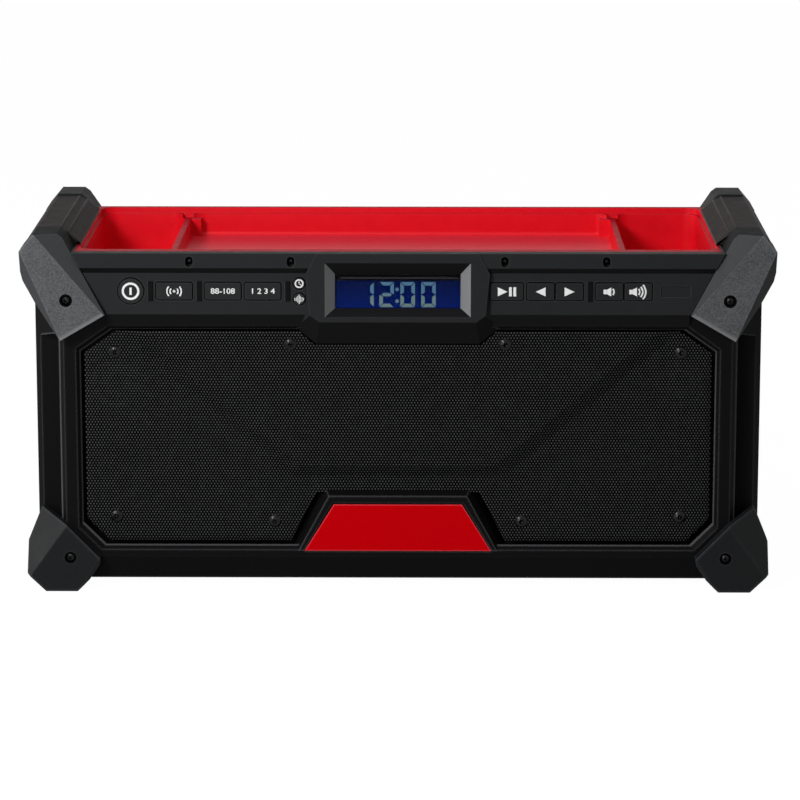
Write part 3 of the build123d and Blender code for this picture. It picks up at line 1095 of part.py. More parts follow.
def usb_socket():
    """Charging socket on the bay's other side, with its mouth towards the device space."""
    x, front, top = (X_BAY - USB_LENGTH, X_BAY), Y_BAY + USB_FRONT, Z_BAY_TOP - USB_DROP
    y, z = (front, front + USB_WIDTH), (top - USB_HEIGHT, top)
    shell = block(x, y, z)
    shell -= block((x[0] - 1, x[1] - USB_WALL), (y[0] + USB_WALL, y[1] - USB_WALL),
                   (z[0] + USB_WALL, z[1] - USB_WALL))
    tongue = top - 2 * USB_WALL - USB_TONGUE
    return shell + block((x[0] + 1, x[1] - 0.5), (y[0] + 2 * USB_WALL, y[1] - 2 * USB_WALL),
                         (tongue, tongue + USB_TONGUE))


def main_board():
    """Amplifier and tuner board, on four legs over the housing floor."""
    z = Z_MAIN_BOARD + BOARD
    board = block((-MAIN_BOARD_WIDTH / 2, MAIN_BOARD_WIDTH / 2), Y_MAIN_BOARD, (Z_MAIN_BOARD, z))
    for x, back, size in CHIPS:
        y = Y_MAIN_BOARD[0] + back
        board += block((x - size / 2, x + size / 2), (y - size / 2, y + size / 2), (z - BOARD / 2, z + CHIP_HEIGHT))
    return board


def heat_sink():
    """Finned aluminium heat sink on the main board."""
    z, middle = Z_MAIN_BOARD + BOARD, sum(Y_MAIN_BOARD) / 2
    y = (middle - SINK_DEPTH / 2, middle + SINK_DEPTH / 2)
    sink = block((-SINK_WIDTH / 2, SINK_WIDTH / 2), y, (z, z + SINK_BASE))
    pitch = (SINK_WIDTH - SINK_FIN) / (SINK_FINS - 1)
    for k in range(SINK_FINS):
        x = (SINK_FIN - SINK_WIDTH) / 2 + pitch * k
        sink += block((x - SINK_FIN / 2, x + SINK_FIN / 2), y, (z + SINK_BASE / 2, z + SINK_HEIGHT))
    return sink


# ------------------------------------------------------------------ door
def hinge_spans():
    """The z ranges of the knuckles from the bottom. The door has every second one, the housing the others."""
    start = Z_LATCH - KNUCKLES / 2 * KNUCKLE_LENGTH
    return [(start + k * KNUCKLE_LENGTH + KNUCKLE_GAP, start + (k + 1) * KNUCKLE_LENGTH - KNUCKLE_GAP)
            for k in range(KNUCKLES)]


def knuckles(owner):
    """The knuckles of the housing, joined to its back face, or those of the door, joined to its plate."""
    if owner == "door":
        x, y = (X_HINGE, -X_BAY - DOOR_LAP + 1), (Y_DOOR + 1, Y_DOOR + DOOR_THICKNESS)
    else:
        x, y = (X_HINGE - HINGE_RADIUS, X_HINGE), (Y_BACK - 1, Y_HINGE)
    spans = hinge_spans()[1::2] if owner == "door" else hinge_spans()[::2]
    made = Part() + [post(X_HINGE, Y_HINGE, HINGE_RADIUS, z) + block(x, y, z) for z in spans]
    return made - post(X_HINGE, Y_HINGE, HINGE_PIN + HINGE_RUN, (0, HEIGHT))


def battery_door():
    """Door over the battery bay: a ribbed plate with hinge knuckles and the latch's bore."""
    x, low, high = X_BAY + DOOR_LAP, Z_BAY - DOOR_LAP, Z_BAY_TOP + DOOR_LAP
    back = Y_DOOR + DOOR_THICKNESS
    door = block((-x, x), (Y_DOOR, back), (low, high))
    door = chamfer(door.edges().group_by(Axis.Y)[-1], DOOR_EDGE)
    step = (high - low) / (DOOR_RIBS + 1)
    for k in range(DOOR_RIBS):
        z = low + step * (k + 1)
        door += block((-x + DOOR_RIB_END, X_LATCH - LATCH_KNOB - DOOR_RIB_END), (back - 0.5, back + DOOR_RIB_PROUD),
                      (z - DOOR_RIB_WIDTH / 2, z + DOOR_RIB_WIDTH / 2))
    inset, wall = DOOR_FRAME_INSET, DOOR_FRAME
    x, z = (inset - X_BAY, X_LATCH - LATCH_KNOB - inset / 2), (Z_BAY + inset, Z_BAY_TOP - inset)
    door += block(x, (Y_DOOR - wall, Y_DOOR + 1), z)
    door -= block((x[0] + wall, x[1] - wall), (Y_DOOR - wall, Y_DOOR), (z[0] + wall, z[1] - wall))
    door += knuckles("door")
    return door - rod(X_LATCH, Z_LATCH, LATCH_SHAFT + HINGE_RUN, (Y_BACK, DEPTH))


def hinge_pin():
    """Steel pin through all the knuckles."""
    spans = hinge_spans()
    return post(X_HINGE, Y_HINGE, HINGE_PIN, (spans[0][0] - PIN_END, spans[-1][1] + PIN_END))


def door_latch():
    """Quarter-turn latch: knob outside, shaft through the door, cam inside. At rest the cam points down."""
    outside = Y_DOOR + DOOR_THICKNESS + LATCH_GAP
    knob = rod(X_LATCH, Z_LATCH, LATCH_KNOB, (outside, outside + LATCH_KNOB_THICKNESS / 2))
    knob += block((X_LATCH - LATCH_WING_WIDTH / 2, X_LATCH + LATCH_WING_WIDTH / 2),
                  (outside, outside + LATCH_KNOB_THICKNESS), (Z_LATCH - LATCH_WING / 2, Z_LATCH + LATCH_WING / 2))
    shaft = rod(X_LATCH, Z_LATCH, LATCH_SHAFT, (Y_CAM - LATCH_CAM_THICKNESS, outside + 0.5))
    cam = block((X_LATCH - LATCH_CAM_WIDTH / 2, X_LATCH + LATCH_CAM_WIDTH / 2), (Y_CAM - LATCH_CAM_THICKNESS, Y_CAM),
                (Z_LATCH - LATCH_CAM_LENGTH, Z_LATCH + LATCH_CAM_WIDTH / 2))
    return knob + shaft + cam


def door_seal():
    """Rubber ring round the bay's mouth, in a groove of the housing."""
    x, low, high = X_BAY + SEAL_INSET, Z_BAY - SEAL_INSET, Z_BAY_TOP + SEAL_INSET
    y = (Y_BACK - SEAL_DEPTH, Y_BACK + SEAL_PROUD)
    ring = block((-x - SEAL_WIDTH, x + SEAL_WIDTH), y, (low - SEAL_WIDTH, high + SEAL_WIDTH))
    return ring - block((-x, x), (y[0] - 1, y[1] + 1), (low, high))


# ------------------------------------------------------------------ sockets and flap
def flap_axis():
    """(y, z) of the flap's barrel."""
    return Y_BACK + FLAP_STANDOFF + FLAP_BARREL, Z_PORT + PORT_HEIGHT / 2 + FLAP_HANG


def flap_barrel(grow):
    """The flap's hinge barrel, a cylinder along X through both ears."""
    y, z = flap_axis()
    return Pos(PORT_AT, y, z) * Rot(0, 90, 0) * Cylinder(FLAP_BARREL + grow, PORT_WIDTH + 2 * FLAP_LAP)


def port_flap():
    """Rubber flap over the sockets. It hangs from a barrel held between two ears."""
    axis = flap_axis()[1]
    front = Y_BACK + FLAP_GAP
    back, low = front + FLAP_THICKNESS, Z_PORT - PORT_HEIGHT / 2
    half, neck = PORT_WIDTH / 2 + FLAP_LAP, PORT_WIDTH / 2 - EAR_THICKNESS - FLAP_GAP
    leaf = block((PORT_AT - half, PORT_AT + half), (front, back), (low - 2 * FLAP_LAP, axis - FLAP_HANG))
    leaf += block((PORT_AT - neck, PORT_AT + neck), (Y_BACK + FLAP_STANDOFF, back), (axis - FLAP_HANG - 1, axis))
    leaf += block((PORT_AT - FLAP_TAB / 2, PORT_AT + FLAP_TAB / 2), (Y_BACK + FLAP_STANDOFF, back + FLAP_TAB_PROUD),
                  (low - FLAP_TAB_DROP, low))
    return leaf + flap_barrel(0)


def round_socket(side, radius, bore, pin):
    """A socket barrel behind the port recess, with a blind bore and perhaps a centre pin."""
    x, front = PORT_AT + side * SOCKET_SPACING / 2, Y_BACK - PORT_RECESS
    body = rod(x, Z_PORT, radius - SOCKET_CLEARANCE, (front - SOCKET_LENGTH, front))
    body -= rod(x, Z_PORT, bore, (front - SOCKET_LENGTH + SOCKET_BASE, front + 1))
    if pin:
        body += rod(x, Z_PORT, pin, (front - SOCKET_LENGTH + SOCKET_BASE / 2, front - PIN_SINK))
    return body


def housing_screws():
    """Long screws that pull the back shell on to the front shell."""
    screws = []
    for x, z in SHELL_SCREWS:
        seat = Y_JOINT + SHELL_SCREW_SEAT
        screws.append(rod(x, z, SHELL_SCREW_HEAD - SHELL_SCREW_CLEARANCE, (seat, seat + SHELL_SCREW_HEAD_HEIGHT))
                      + rod(x, z, SCREW_SHANK, (Y_JOINT - SHELL_SCREW_BITE, seat + 1)))
    return group(screws)


# ------------------------------------------------------------------ all the nodes
def all_parts():
    """Every node's solids by name."""
    envelope = housing_envelope()
    parts = {
        "front_housing": front_housing(envelope),
        "rear_housing": rear_housing(envelope),
        "control_panel": control_panel(),
        "panel_screws": panel_screws(),
        "display_window": display_window(),
        "lcd_module": lcd_module(),
        "button_board": button_board(),
        "tact_switches": tact_switches(),
        "speaker_grille": speaker_grille(),
        "grille_screws": grille_screws(),
        "badge_plate": badge_plate(),
        "top_tray": top_tray(),
        "bumper_screws": bumper_screws(),
        "speaker_screws": speaker_screws(),
        "main_board": main_board(),
        "heat_sink": heat_sink(),
        "battery_door": battery_door(),
        "hinge_pin": hinge_pin(),
        "door_latch": door_latch(),
        "door_seal": door_seal(),
        "battery_pack": battery_pack(),
        "terminal_block": terminal_block(),
        "usb_socket": usb_socket(),
        "aux_socket": round_socket(-1, JACK_RADIUS, JACK_BORE, 0),
        "dc_inlet": round_socket(1, INLET_RADIUS, INLET_BORE, INLET_PIN),
        "port_flap": port_flap(),
        "housing_screws": housing_screws(),
    }
    for name, x, z, width, height in key_places():
        parts[name] = key(x, z, width, height)
    for end, front in (("front", True), ("rear", False)):
        for level, top in (("top", True), ("bottom", False)):
            cap = bumper(envelope, top, front)
            parts[f"{end}_{level}_left_bumper"] = cap
            parts[f"{end}_{level}_right_bumper"] = mirrored(cap)
    for word, side in (("left", -1), ("right", 1)):
        parts[f"{word}_handle_bar"] = handle_bar(side)
        parts[f"{word}_grip"] = grip(side)
        parts[f"{word}_woofer_frame"] = woofer_frame(side)
        parts[f"{word}_woofer_magnet"] = woofer_magnet(side)
        parts[f"{word}_woofer_cone"] = woofer_cone(side)
        parts[f"{word}_woofer_surround"] = woofer_surround(side)
        parts[f"{word}_tweeter"] = tweeter(side)
    return parts


os.makedirs("parts", exist_ok=True)
for node, shape in all_parts().items():
    export_step(shape, f"parts/{node}.step")
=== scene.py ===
"""A jobsite radio, dressed piece by piece in the order in which it is put together.

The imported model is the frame. Its +Z is up, the front faces -Y, and the ground is z = 0. Lengths are metres.
"""
import math

import bmesh
import bpy
import numpy as np
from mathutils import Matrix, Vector


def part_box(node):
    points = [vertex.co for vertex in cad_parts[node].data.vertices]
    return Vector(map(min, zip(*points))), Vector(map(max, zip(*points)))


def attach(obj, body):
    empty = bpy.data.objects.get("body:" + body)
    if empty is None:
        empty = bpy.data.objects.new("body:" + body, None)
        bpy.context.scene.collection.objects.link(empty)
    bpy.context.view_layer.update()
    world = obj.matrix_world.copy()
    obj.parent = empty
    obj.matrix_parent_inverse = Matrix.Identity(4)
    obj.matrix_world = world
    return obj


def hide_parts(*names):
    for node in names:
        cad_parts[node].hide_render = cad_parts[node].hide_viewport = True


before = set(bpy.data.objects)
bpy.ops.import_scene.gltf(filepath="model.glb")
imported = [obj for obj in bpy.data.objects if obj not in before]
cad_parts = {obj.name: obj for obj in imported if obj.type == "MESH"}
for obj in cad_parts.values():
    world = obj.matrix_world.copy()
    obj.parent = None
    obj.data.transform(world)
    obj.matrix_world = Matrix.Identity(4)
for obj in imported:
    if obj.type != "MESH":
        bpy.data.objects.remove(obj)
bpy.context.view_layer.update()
MM = 0.001


# ---- The stand and the light ----
# A white paper sweep under soft studio lamps, seen by a long lens a little above the radio. The paper bounces
# light on to the radio's underside, and shows pure white with the soft shadow that the radio throws.
CAMERA_AIM = np.array([1.2, -90.0, 105.0]) * MM
CAMERA_DISTANCE = 1952 * MM
CAMERA_RISE = math.radians(12.0)
CAMERA_TURN = math.radians(0.5)
LENS = 165.15                # mm
SENSOR = 36                  # mm


def linear(colour):
    """sRGB hex to a linear colour: each channel is raised as the sRGB curve says."""
    srgb = np.array([int(colour[i:i + 2], 16) / 255 for i in (1, 3, 5)])
    return (*np.where(srgb <= 0.04045, srgb / 12.92, ((srgb + 0.055) / 1.055) ** 2.4), 1.0)


def add(tree, kind, inputs=None, **settings):
    """Adds one shader node. Settings are its own properties. An input is a value, a socket to link from, or a
    node whose first output is linked."""
    node = tree.nodes.new("ShaderNode" + kind)
    for name, value in settings.items():
        setattr(node, name, value)
    for name, value in (inputs or {}).items():
        if isinstance(value, bpy.types.Node):
            value = value.outputs[0]
        if isinstance(value, bpy.types.NodeSocket):
            tree.links.new(value, node.inputs[name])
        else:
            node.inputs[name].default_value = value
    return node


def empty_material(name):
    """A material with no nodes yet, and its tree."""
    material = bpy.data.materials.new(name)
    material.use_nodes = True
    material.node_tree.nodes.clear()
    return material, material.node_tree


def place_mesh(name, points, faces, material):
    """A new object at the origin, from points in metres and faces as lists of point numbers."""
    mesh = bpy.data.meshes.new(name)
    mesh.from_pydata(np.asarray(points, float).tolist(), [], faces)
    mesh.validate()
    mesh.materials.append(material)
    piece = bpy.data.objects.new(name, mesh)
    bpy.context.scene.collection.objects.link(piece)
    return piece


def product(tree, *shares):
    """Shares, each nought to one, multiplied with each other."""
    share = shares[0]
    for other in shares[1:]:
        share = add(tree, "Math", {0: share, 1: other}, operation="MULTIPLY")
    return share


def watched(tree):
    """One where the camera, a reflection or a view through glass looks, and nought where light only bounces."""
    ray = add(tree, "LightPath")
    seen = ray.outputs["Is Camera Ray"]
    for other in ("Is Glossy Ray", "Is Transmission Ray"):
        seen = add(tree, "Math", {0: seen, 1: ray.outputs[other]}, operation="MAXIMUM")
    return seen


PAPER_GREY = "#626262"       # what the paper bounces back
PAPER_GLOW = 1.64            # strength that brings a seen, lit sheet up to white
PAPER_GLOW_SHARE = 0.6       # the rest stays matt, and keeps the shadow


def paper():
    """White seamless paper: matt, and shown as white where the camera or a reflection sees it."""
    material, tree = empty_material("seamless_paper")
    share = product(tree, watched(tree), PAPER_GLOW_SHARE)
    matt = add(tree, "BsdfDiffuse", {"Color": linear(PAPER_GREY)})
    glow = add(tree, "Emission", {"Color": (1, 1, 1, 1), "Strength": PAPER_GLOW})
    mixed = add(tree, "MixShader", {0: share, 1: matt, 2: glow})
    add(tree, "OutputMaterial", {"Surface": mixed})
    return material


FLOOR_HALF = 3.0
floor_corners = [(x * FLOOR_HALF, y * FLOOR_HALF, 0) for x, y in ((-1, -1), (1, -1), (1, 1), (-1, 1))]
floor = place_mesh("floor", floor_corners, [(0, 1, 2, 3)], paper())

world = bpy.data.worlds.new("studio")
bpy.context.scene.world = world
world.use_nodes = True
sky = world.node_tree
sky.nodes.clear()
air = add(sky, "Background", {"Color": (1, 1, 1, 1), "Strength": 0.1})
backdrop = add(sky, "Background", {"Color": (1, 1, 1, 1), "Strength": 1.0})
chosen = add(sky, "MixShader", {0: watched(sky), 1: air, 2: backdrop})
add(sky, "OutputWorld", {"Surface": chosen})


def softbox(name, place, aim, width, height, power):
    """A rectangular lamp at one place that faces another."""
    lamp = bpy.data.lights.new(name, "AREA")
    lamp.shape = "RECTANGLE"
    lamp.size, lamp.size_y = width, height
    lamp.energy = power
    holder = bpy.data.objects.new(name, lamp)
    holder.location = place
    holder.rotation_euler = (Vector(aim) - Vector(place)).to_track_quat("-Z", "Y").to_euler()
    bpy.context.scene.collection.objects.link(holder)


# Name, place, aim, width, height and watts
LAMPS = (("key_lamp", (-0.75, -1.15, 0.9), (-0.05, -0.05, 0.1), 0.4, 0.4, 17),
         ("front_lamp", (-0.38, -1.08, 0.17), (-0.08, -0.09, 0.1), 0.36, 0.2, 2.6),
         ("side_lamp", (-1.3, -0.1, 0.3), (-0.1, 0, 0.1), 0.3, 0.3, 5),
         ("fill_lamp", (1.5, -0.6, 0.5), (0, 0, 0.1), 0.6, 0.6, 0.8),
         ("top_lamp", (-0.1, -0.3, 1.4), (0, 0, 0.15), 1.0, 0.6, 3))
for lamp_row in LAMPS:
    softbox(*lamp_row)

camera = bpy.data.objects.new("camera", bpy.data.cameras.new("camera"))
bpy.context.scene.collection.objects.link(camera)
camera.data.lens = LENS
camera.data.sensor_width = SENSOR
away = np.array([math.sin(CAMERA_TURN) * math.cos(CAMERA_RISE), -math.cos(CAMERA_TURN) * math.cos(CAMERA_RISE),
                 math.sin(CAMERA_RISE)])
camera.location = CAMERA_AIM + away * CAMERA_DISTANCE
camera.rotation_euler = Vector(-away).to_track_quat("-Z", "Y").to_euler()
bpy.context.scene.camera = camera
bpy.context.scene.view_settings.view_transform = "Standard"


# ---- The two housing shells ----
# Front and back shell, injection moulded from black glass-filled nylon in a spark-eroded tool. The front one
# carries the frame round the grille, the back one the battery bay. Every edge has the small radius of a mould.
SHELL_BLACK = "#0c0c0d"
SHELL_GRAIN = 0.45           # mm, the spark-eroded grain
SHELL_EDGE = 0.7             # mm


def moulded(name, colour, grain, relief, roughness, mottle=0.12, cloud=0.3, edge=0.6, gloss=0.03, edge_highlight=None,
             coat=0.0):
    """A moulded plastic or rubber. Its surface has the grain of the tool: one noise gives bumps of that size in
    mm and relief in mm, and a second one fourteen times as wide, mixed in by the share cloud, makes colour and
    roughness vary. Its corners look rounded to the edge's radius in mm. Gloss is the strength of its mirror part.
    The paler corner colour, where one is given, is painted on its outer corners as a painted highlight that stands
    in for the light its rounded corners catch. They are where rays that start inwards soon leave the piece."""
    material, tree = empty_material(name)
    place = add(tree, "TexCoord").outputs["Object"]
    fine = add(tree, "TexNoise", {"Vector": place, "Scale": 1 / (grain * MM), "Detail": 3.0, "Roughness": 0.6})
    broad = add(tree, "TexNoise", {"Vector": place, "Scale": 1 / (grain * 14 * MM), "Detail": 2.0})
    both = add(tree, "Mix", {0: cloud, 2: fine, 3: broad}, data_type="FLOAT")
    spread = add(tree, "MapRange", {"Value": both, "From Min": 0.35, "From Max": 0.65, "To Min": 1 - mottle,
                                    "To Max": 1 + mottle})
    paint = add(tree, "VectorMath", {0: linear(colour)[:3], "Scale": spread}, operation="SCALE")
    if edge_highlight:
        # Painted highlight: a paler colour on the outer corners, in place of light caught by rounded edges
        inner = add(tree, "AmbientOcclusion", {"Distance": edge * 1.6 * MM}, samples=4, inside=True, only_local=True)
        highlight_share = add(tree, "MapRange", {"Value": inner.outputs["AO"], "From Min": 0.95, "From Max": 0.6})
        paint = add(tree, "Mix", {0: highlight_share, 6: paint, 7: linear(edge_highlight)}, data_type="RGBA").outputs[2]
    shine = add(tree, "MapRange", {"Value": broad, "From Min": 0.3, "From Max": 0.7,
                                   "To Min": roughness - 0.04, "To Max": roughness + 0.05})
    soft = add(tree, "Bevel", {"Radius": edge * MM}, samples=4)
    bump = add(tree, "Bump", {"Height": fine, "Distance": relief * MM, "Strength": 1.0, "Normal": soft})
    skin = add(tree, "BsdfPrincipled", {"Base Color": paint, "Roughness": shine, "Normal": bump,
                                        "Specular IOR Level": gloss, "Coat Weight": coat, "Coat Roughness": 0.2})
    add(tree, "OutputMaterial", {"Surface": skin})
    return material


def faces_way(tree, axis, low, high):
    """How much of a face's own normal lies along an axis, either way, as a share: nought at low and one at high.
    With low over high it picks the faces that look another way."""
    parts = add(tree, "SeparateXYZ", {0: add(tree, "NewGeometry").outputs["True Normal"]})
    size = add(tree, "Math", {0: parts.outputs[axis]}, operation="ABSOLUTE")
    return add(tree, "MapRange", {"Value": size, "From Min": low, "From Max": high})


def within(tree, low, high):
    """One where the point lies in a box given in mm, nought elsewhere."""
    parts = add(tree, "SeparateXYZ", {0: add(tree, "TexCoord").outputs["Object"]})
    return product(tree, *[add(tree, "Math", {0: parts.outputs[axis], 1: bound[axis] * MM}, operation=side)
                           for axis in range(3) for bound, side in ((low, "GREATER_THAN"), (high, "LESS_THAN"))])


def near_axis(tree, x, z, radius):
    """One within a radius in mm of an axis along Y on either side of the radio, nought further off."""
    place = add(tree, "TexCoord").outputs["Object"]
    flat = add(tree, "VectorMath", {0: place}, operation="ABSOLUTE")
    flat = add(tree, "VectorMath", {0: flat, 1: (1, 0, 1)}, operation="MULTIPLY")
    reach = add(tree, "VectorMath", {0: flat, 1: (x * MM, 0, z * MM)}, operation="DISTANCE")
    soft = 0.15              # mm, half the width of the edge's fade
    return add(tree, "MapRange", {"Value": reach.outputs["Value"], "From Min": (radius + soft) * MM,
                                  "From Max": (radius - soft) * MM})


def beyond_line(tree, first, last, start, end):
    """A share that rises from nought to one between two distances in mm, start and end, from a line through two
    (x, z) points, on either side of the radio. A distance is the dot product of the way to the point and the
    line's left-hand normal."""
    place = add(tree, "TexCoord").outputs["Object"]
    flat = add(tree, "VectorMath", {0: place}, operation="ABSOLUTE")
    way = np.subtract(last, first) / np.linalg.norm(np.subtract(last, first))
    left = np.array([-way[1], way[0]])
    reach = add(tree, "VectorMath", {0: flat, 1: (left[0], 0, left[1])}, operation="DOT_PRODUCT")
    edge = float(np.dot(left, first)) * MM
    return add(tree, "MapRange", {"Value": reach.outputs["Value"], "From Min": edge + start * MM,
                                  "From Max": edge + end * MM})


def repaint(material, colour, share, gloss=None, cover=1.0):
    """Lays another colour, and another strength of the mirror part, over a moulded finish, as a share says. A
    cover under one lets some of the finish's own mottle through."""
    tree = material.node_tree
    share = product(tree, share, cover)
    skin = next(node for node in tree.nodes if node.type == "BSDF_PRINCIPLED")
    paint, mirror = skin.inputs["Base Color"], skin.inputs["Specular IOR Level"]
    over = add(tree, "Mix", {0: share, 6: paint.links[0].from_socket, 7: linear(colour)}, data_type="RGBA")
    tree.links.new(over.outputs[2], paint)
    if gloss is not None:
        before = mirror.links[0].from_socket if mirror.is_linked else mirror.default_value
        level = add(tree, "MapRange", {"Value": share, "To Min": before, "To Max": gloss})
        tree.links.new(level.outputs[0], mirror)


def dress(node, material):
    """Gives a CAD node that keeps its own shape its finish."""
    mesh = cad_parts[node].data
    mesh.materials.clear()
    mesh.materials.append(material)


# The material slot of each CAD node, which a visible piece that stands for it or lies on it takes over
# Its paler corner colour is a painted highlight
nylon = moulded("glass_filled_nylon", SHELL_BLACK, SHELL_GRAIN, 0.02, 0.46, edge=SHELL_EDGE, gloss=0.03,
                edge_highlight="#464648")
dress("front_housing", nylon)
dress("rear_housing", nylon)


# ---- The boards and the heat sink ----
# Green epoxy-glass boards stand on short legs inside the housing, with a finned aluminium heat sink between
# them. They are the parts a person sees first when the shells come apart.
BOARD_GREEN = "#0f4a2a"
ALUMINIUM = "#c4c7cb"


def metal(name, colour, roughness, grain, stretch=(1, 1, 1)):
    """A bare or plated metal. A noise, stretched along the way it was drawn or brushed, varies the gloss."""
    material, tree = empty_material(name)
    place = add(tree, "TexCoord").outputs["Object"]
    drawn = add(tree, "Mapping", {"Vector": place, "Scale": stretch})
    marks = add(tree, "TexNoise", {"Vector": drawn, "Scale": 1 / (grain * MM), "Detail": 4.0})
    gloss = add(tree, "MapRange", {"Value": marks, "From Min": 0.3, "From Max": 0.7,
                                   "To Min": roughness * 0.8, "To Max": roughness * 1.25})
    bump = add(tree, "Bump", {"Height": marks, "Distance": 0.01 * MM, "Strength": 0.6})
    skin = add(tree, "BsdfPrincipled", {"Base Color": linear(colour), "Metallic": 1.0, "Roughness": gloss,
                                        "Normal": bump})
    add(tree, "OutputMaterial", {"Surface": skin})
    return material


solder_mask = moulded("solder_masked_epoxy_glass", BOARD_GREEN, 0.8, 0.02, 0.35, mottle=0.25, coat=0.3)
extruded_aluminium = metal("extruded_aluminium", ALUMINIUM, 0.35, 0.4, (0.1, 1, 1))
socket_black = moulded("black_nylon_66", "#151516", 0.3, 0.015, 0.4)
for board in ("button_board", "main_board"):
    dress(board, solder_mask)
dress("heat_sink", extruded_aluminium)
dress("tact_switches", socket_black)


# ---- The speakers ----
# Two woofers with pressed steel baskets, ferrite magnets, paper cones and rubber half-roll surrounds, and two
# small tweeters above them near the ends. They are screwed to the baffle and show faintly through the grille.
black_enamel = metal("black_enamelled_steel", "#1a1a1b", 0.45, 0.5)
ferrite = moulded("sintered_ferrite", "#202124", 0.6, 0.03, 0.6, mottle=0.2)
butyl = moulded("butyl_rubber", "#0b0b0b", 0.3, 0.01, 0.4)


def coated_paper():
    """Pressed paper pulp with a thin coat, whose fibres are a fine noise in colour and relief."""
    material, tree = empty_material("coated_paper_pulp")
    place = add(tree, "TexCoord").outputs["Object"]
    fibres = add(tree, "TexNoise", {"Vector": place, "Scale": 1 / (0.7 * MM), "Detail": 5.0, "Roughness": 0.7})
    tint = add(tree, "Mix", {0: fibres, 6: linear("#080808"), 7: linear("#1c1c1d")}, data_type="RGBA")
    bump = add(tree, "Bump", {"Height": fibres, "Distance": 0.06 * MM})
    skin = add(tree, "BsdfPrincipled", {"Base Color": tint.outputs[2], "Roughness": 0.62, "Normal": bump})
    add(tree, "OutputMaterial", {"Surface": skin})
    return material


paper_pulp = coated_paper()
for side in ("left", "right"):
    dress(f"{side}_woofer_frame", black_enamel)
    dress(f"{side}_woofer_magnet", ferrite)
    dress(f"{side}_woofer_cone", paper_pulp)
    dress(f"{side}_woofer_surround", butyl)
    dress(f"{side}_tweeter", metal(f"{side}_tweeter_plate", "#3a3a3c", 0.3, 0.4))


# ---- The speaker grille ----
# One sheet of steel, perforated in staggered rows, pressed so that its middle stands proud, and powder coated
# black. It is cut round the badge's frame and the foot of the display, and flat dimples take its screws.
HOLE_PITCH = 1.63            # mm, along a row
ROW_PITCH = 1.41             # mm
HOLE_RADIUS = 0.56
SHEET = 1.2                  # mm thick
OPENING = ((155.5, 25.0), (167.7, 37.2), (167.7, 128.5), (150.7, 140.5))   # right half, from the foot up
BADGE_CUT = ((60.1, 20.7), (43.9, 52.2))      # right half of the badge frame's outline on the sheet
SKIRT_CUT = ((44.3, 133.0), (54.9, 142.5), (54.9, 150.0))
SHEET_GAP = 0.3
EDGE_PLAIN = 1.3             # mm without holes along the outer edge
CUT_PLAIN = 0.9
DIMPLE_RADIUS = 4.1
GRILLE_SCREWS = ((150.9, 128.8), (57.2, 133.5), (151.5, 38.7), (66.4, 36.1))    # right half
FOLD_FOOT = (52.0, 67.0)     # x and z of the raised middle's lower corner
FOLD_TOP = (136.0, 138.7)
FOLD_WIDTH = 12.0
FOLD_RISE = 2.6
ROLL_WIDTH = 4.0             # the rim is rolled back over this width
ROLL_DEPTH = 1.0
SHEET_FRONT = -79.0          # y of the sheet's front beside the raised middle
SHEET_SPAN = 170             # half of the width that the rows of holes are counted over
GRILLE_PARTS = 4


def inside_by(points, outline):
    """How far inside a convex outline each point lies, and the way out of it. The distance is the least of the
    distances to the outline's edges, each the cross product of the edge's direction and the way to the point."""
    corners = np.array(outline)
    ends = np.roll(corners, -1, axis=0)
    way = (ends - corners) / np.linalg.norm(ends - corners, axis=1, keepdims=True)
    normal = np.stack([-way[:, 1], way[:, 0]], axis=1)
    depth = np.einsum("pek,ek->pe", points[:, None, :] - corners[None], normal)
    nearest = depth.argmin(axis=1)
    return depth[np.arange(len(points)), nearest], -normal[nearest]


def whole(half):
    """A closed outline from its right half, given from the foot up, in anticlockwise order."""
    return tuple(half) + tuple((-x, z) for x, z in reversed(half))


def both_sides(places):
    """Places on the right and their mirror images."""
    return [(side * x, *rest) for side in (-1, 1) for x, *rest in places]


def sheet_room(points):
    """How far inside the sheet each point lies, and the way to the sheet's nearest edge."""
    room, way = inside_by(points, whole(tuple((x - SHEET_GAP, z + (SHEET_GAP if z < 80 else -SHEET_GAP))
                                              for x, z in OPENING)))
    for cut in (BADGE_CUT, SKIRT_CUT):
        depth, out = inside_by(points, whole(cut))
        hit = -depth < room
        room = np.where(hit, -depth, room)
        way = np.where(hit[:, None], -out, way)
    return room, way


def sheet_y(points):
    """Front of the pressed sheet. It steps forward by the rise where a point is inside the raised middle,
    falls off in line over the fold's width, and rolls back by a quarter circle's share along the outer rim."""
    x, z = np.abs(points[:, 0]), points[:, 1]
    share = (z - FOLD_FOOT[1]) / (FOLD_TOP[1] - FOLD_FOOT[1])
    side = (x - (FOLD_FOOT[0] + (FOLD_TOP[0] - FOLD_FOOT[0]) * share)) / FOLD_WIDTH
    below = (FOLD_FOOT[1] - z) / (FOLD_WIDTH / 2)
    rise = FOLD_RISE * np.clip(1 - np.maximum(side, below), 0, 1)
    room = inside_by(points, whole(OPENING))[0]
    rolled = ROLL_DEPTH * (1 - np.sqrt(1 - np.clip(1 - room / ROLL_WIDTH, 0, 1) ** 2))
    return SHEET_FRONT - rise + rolled


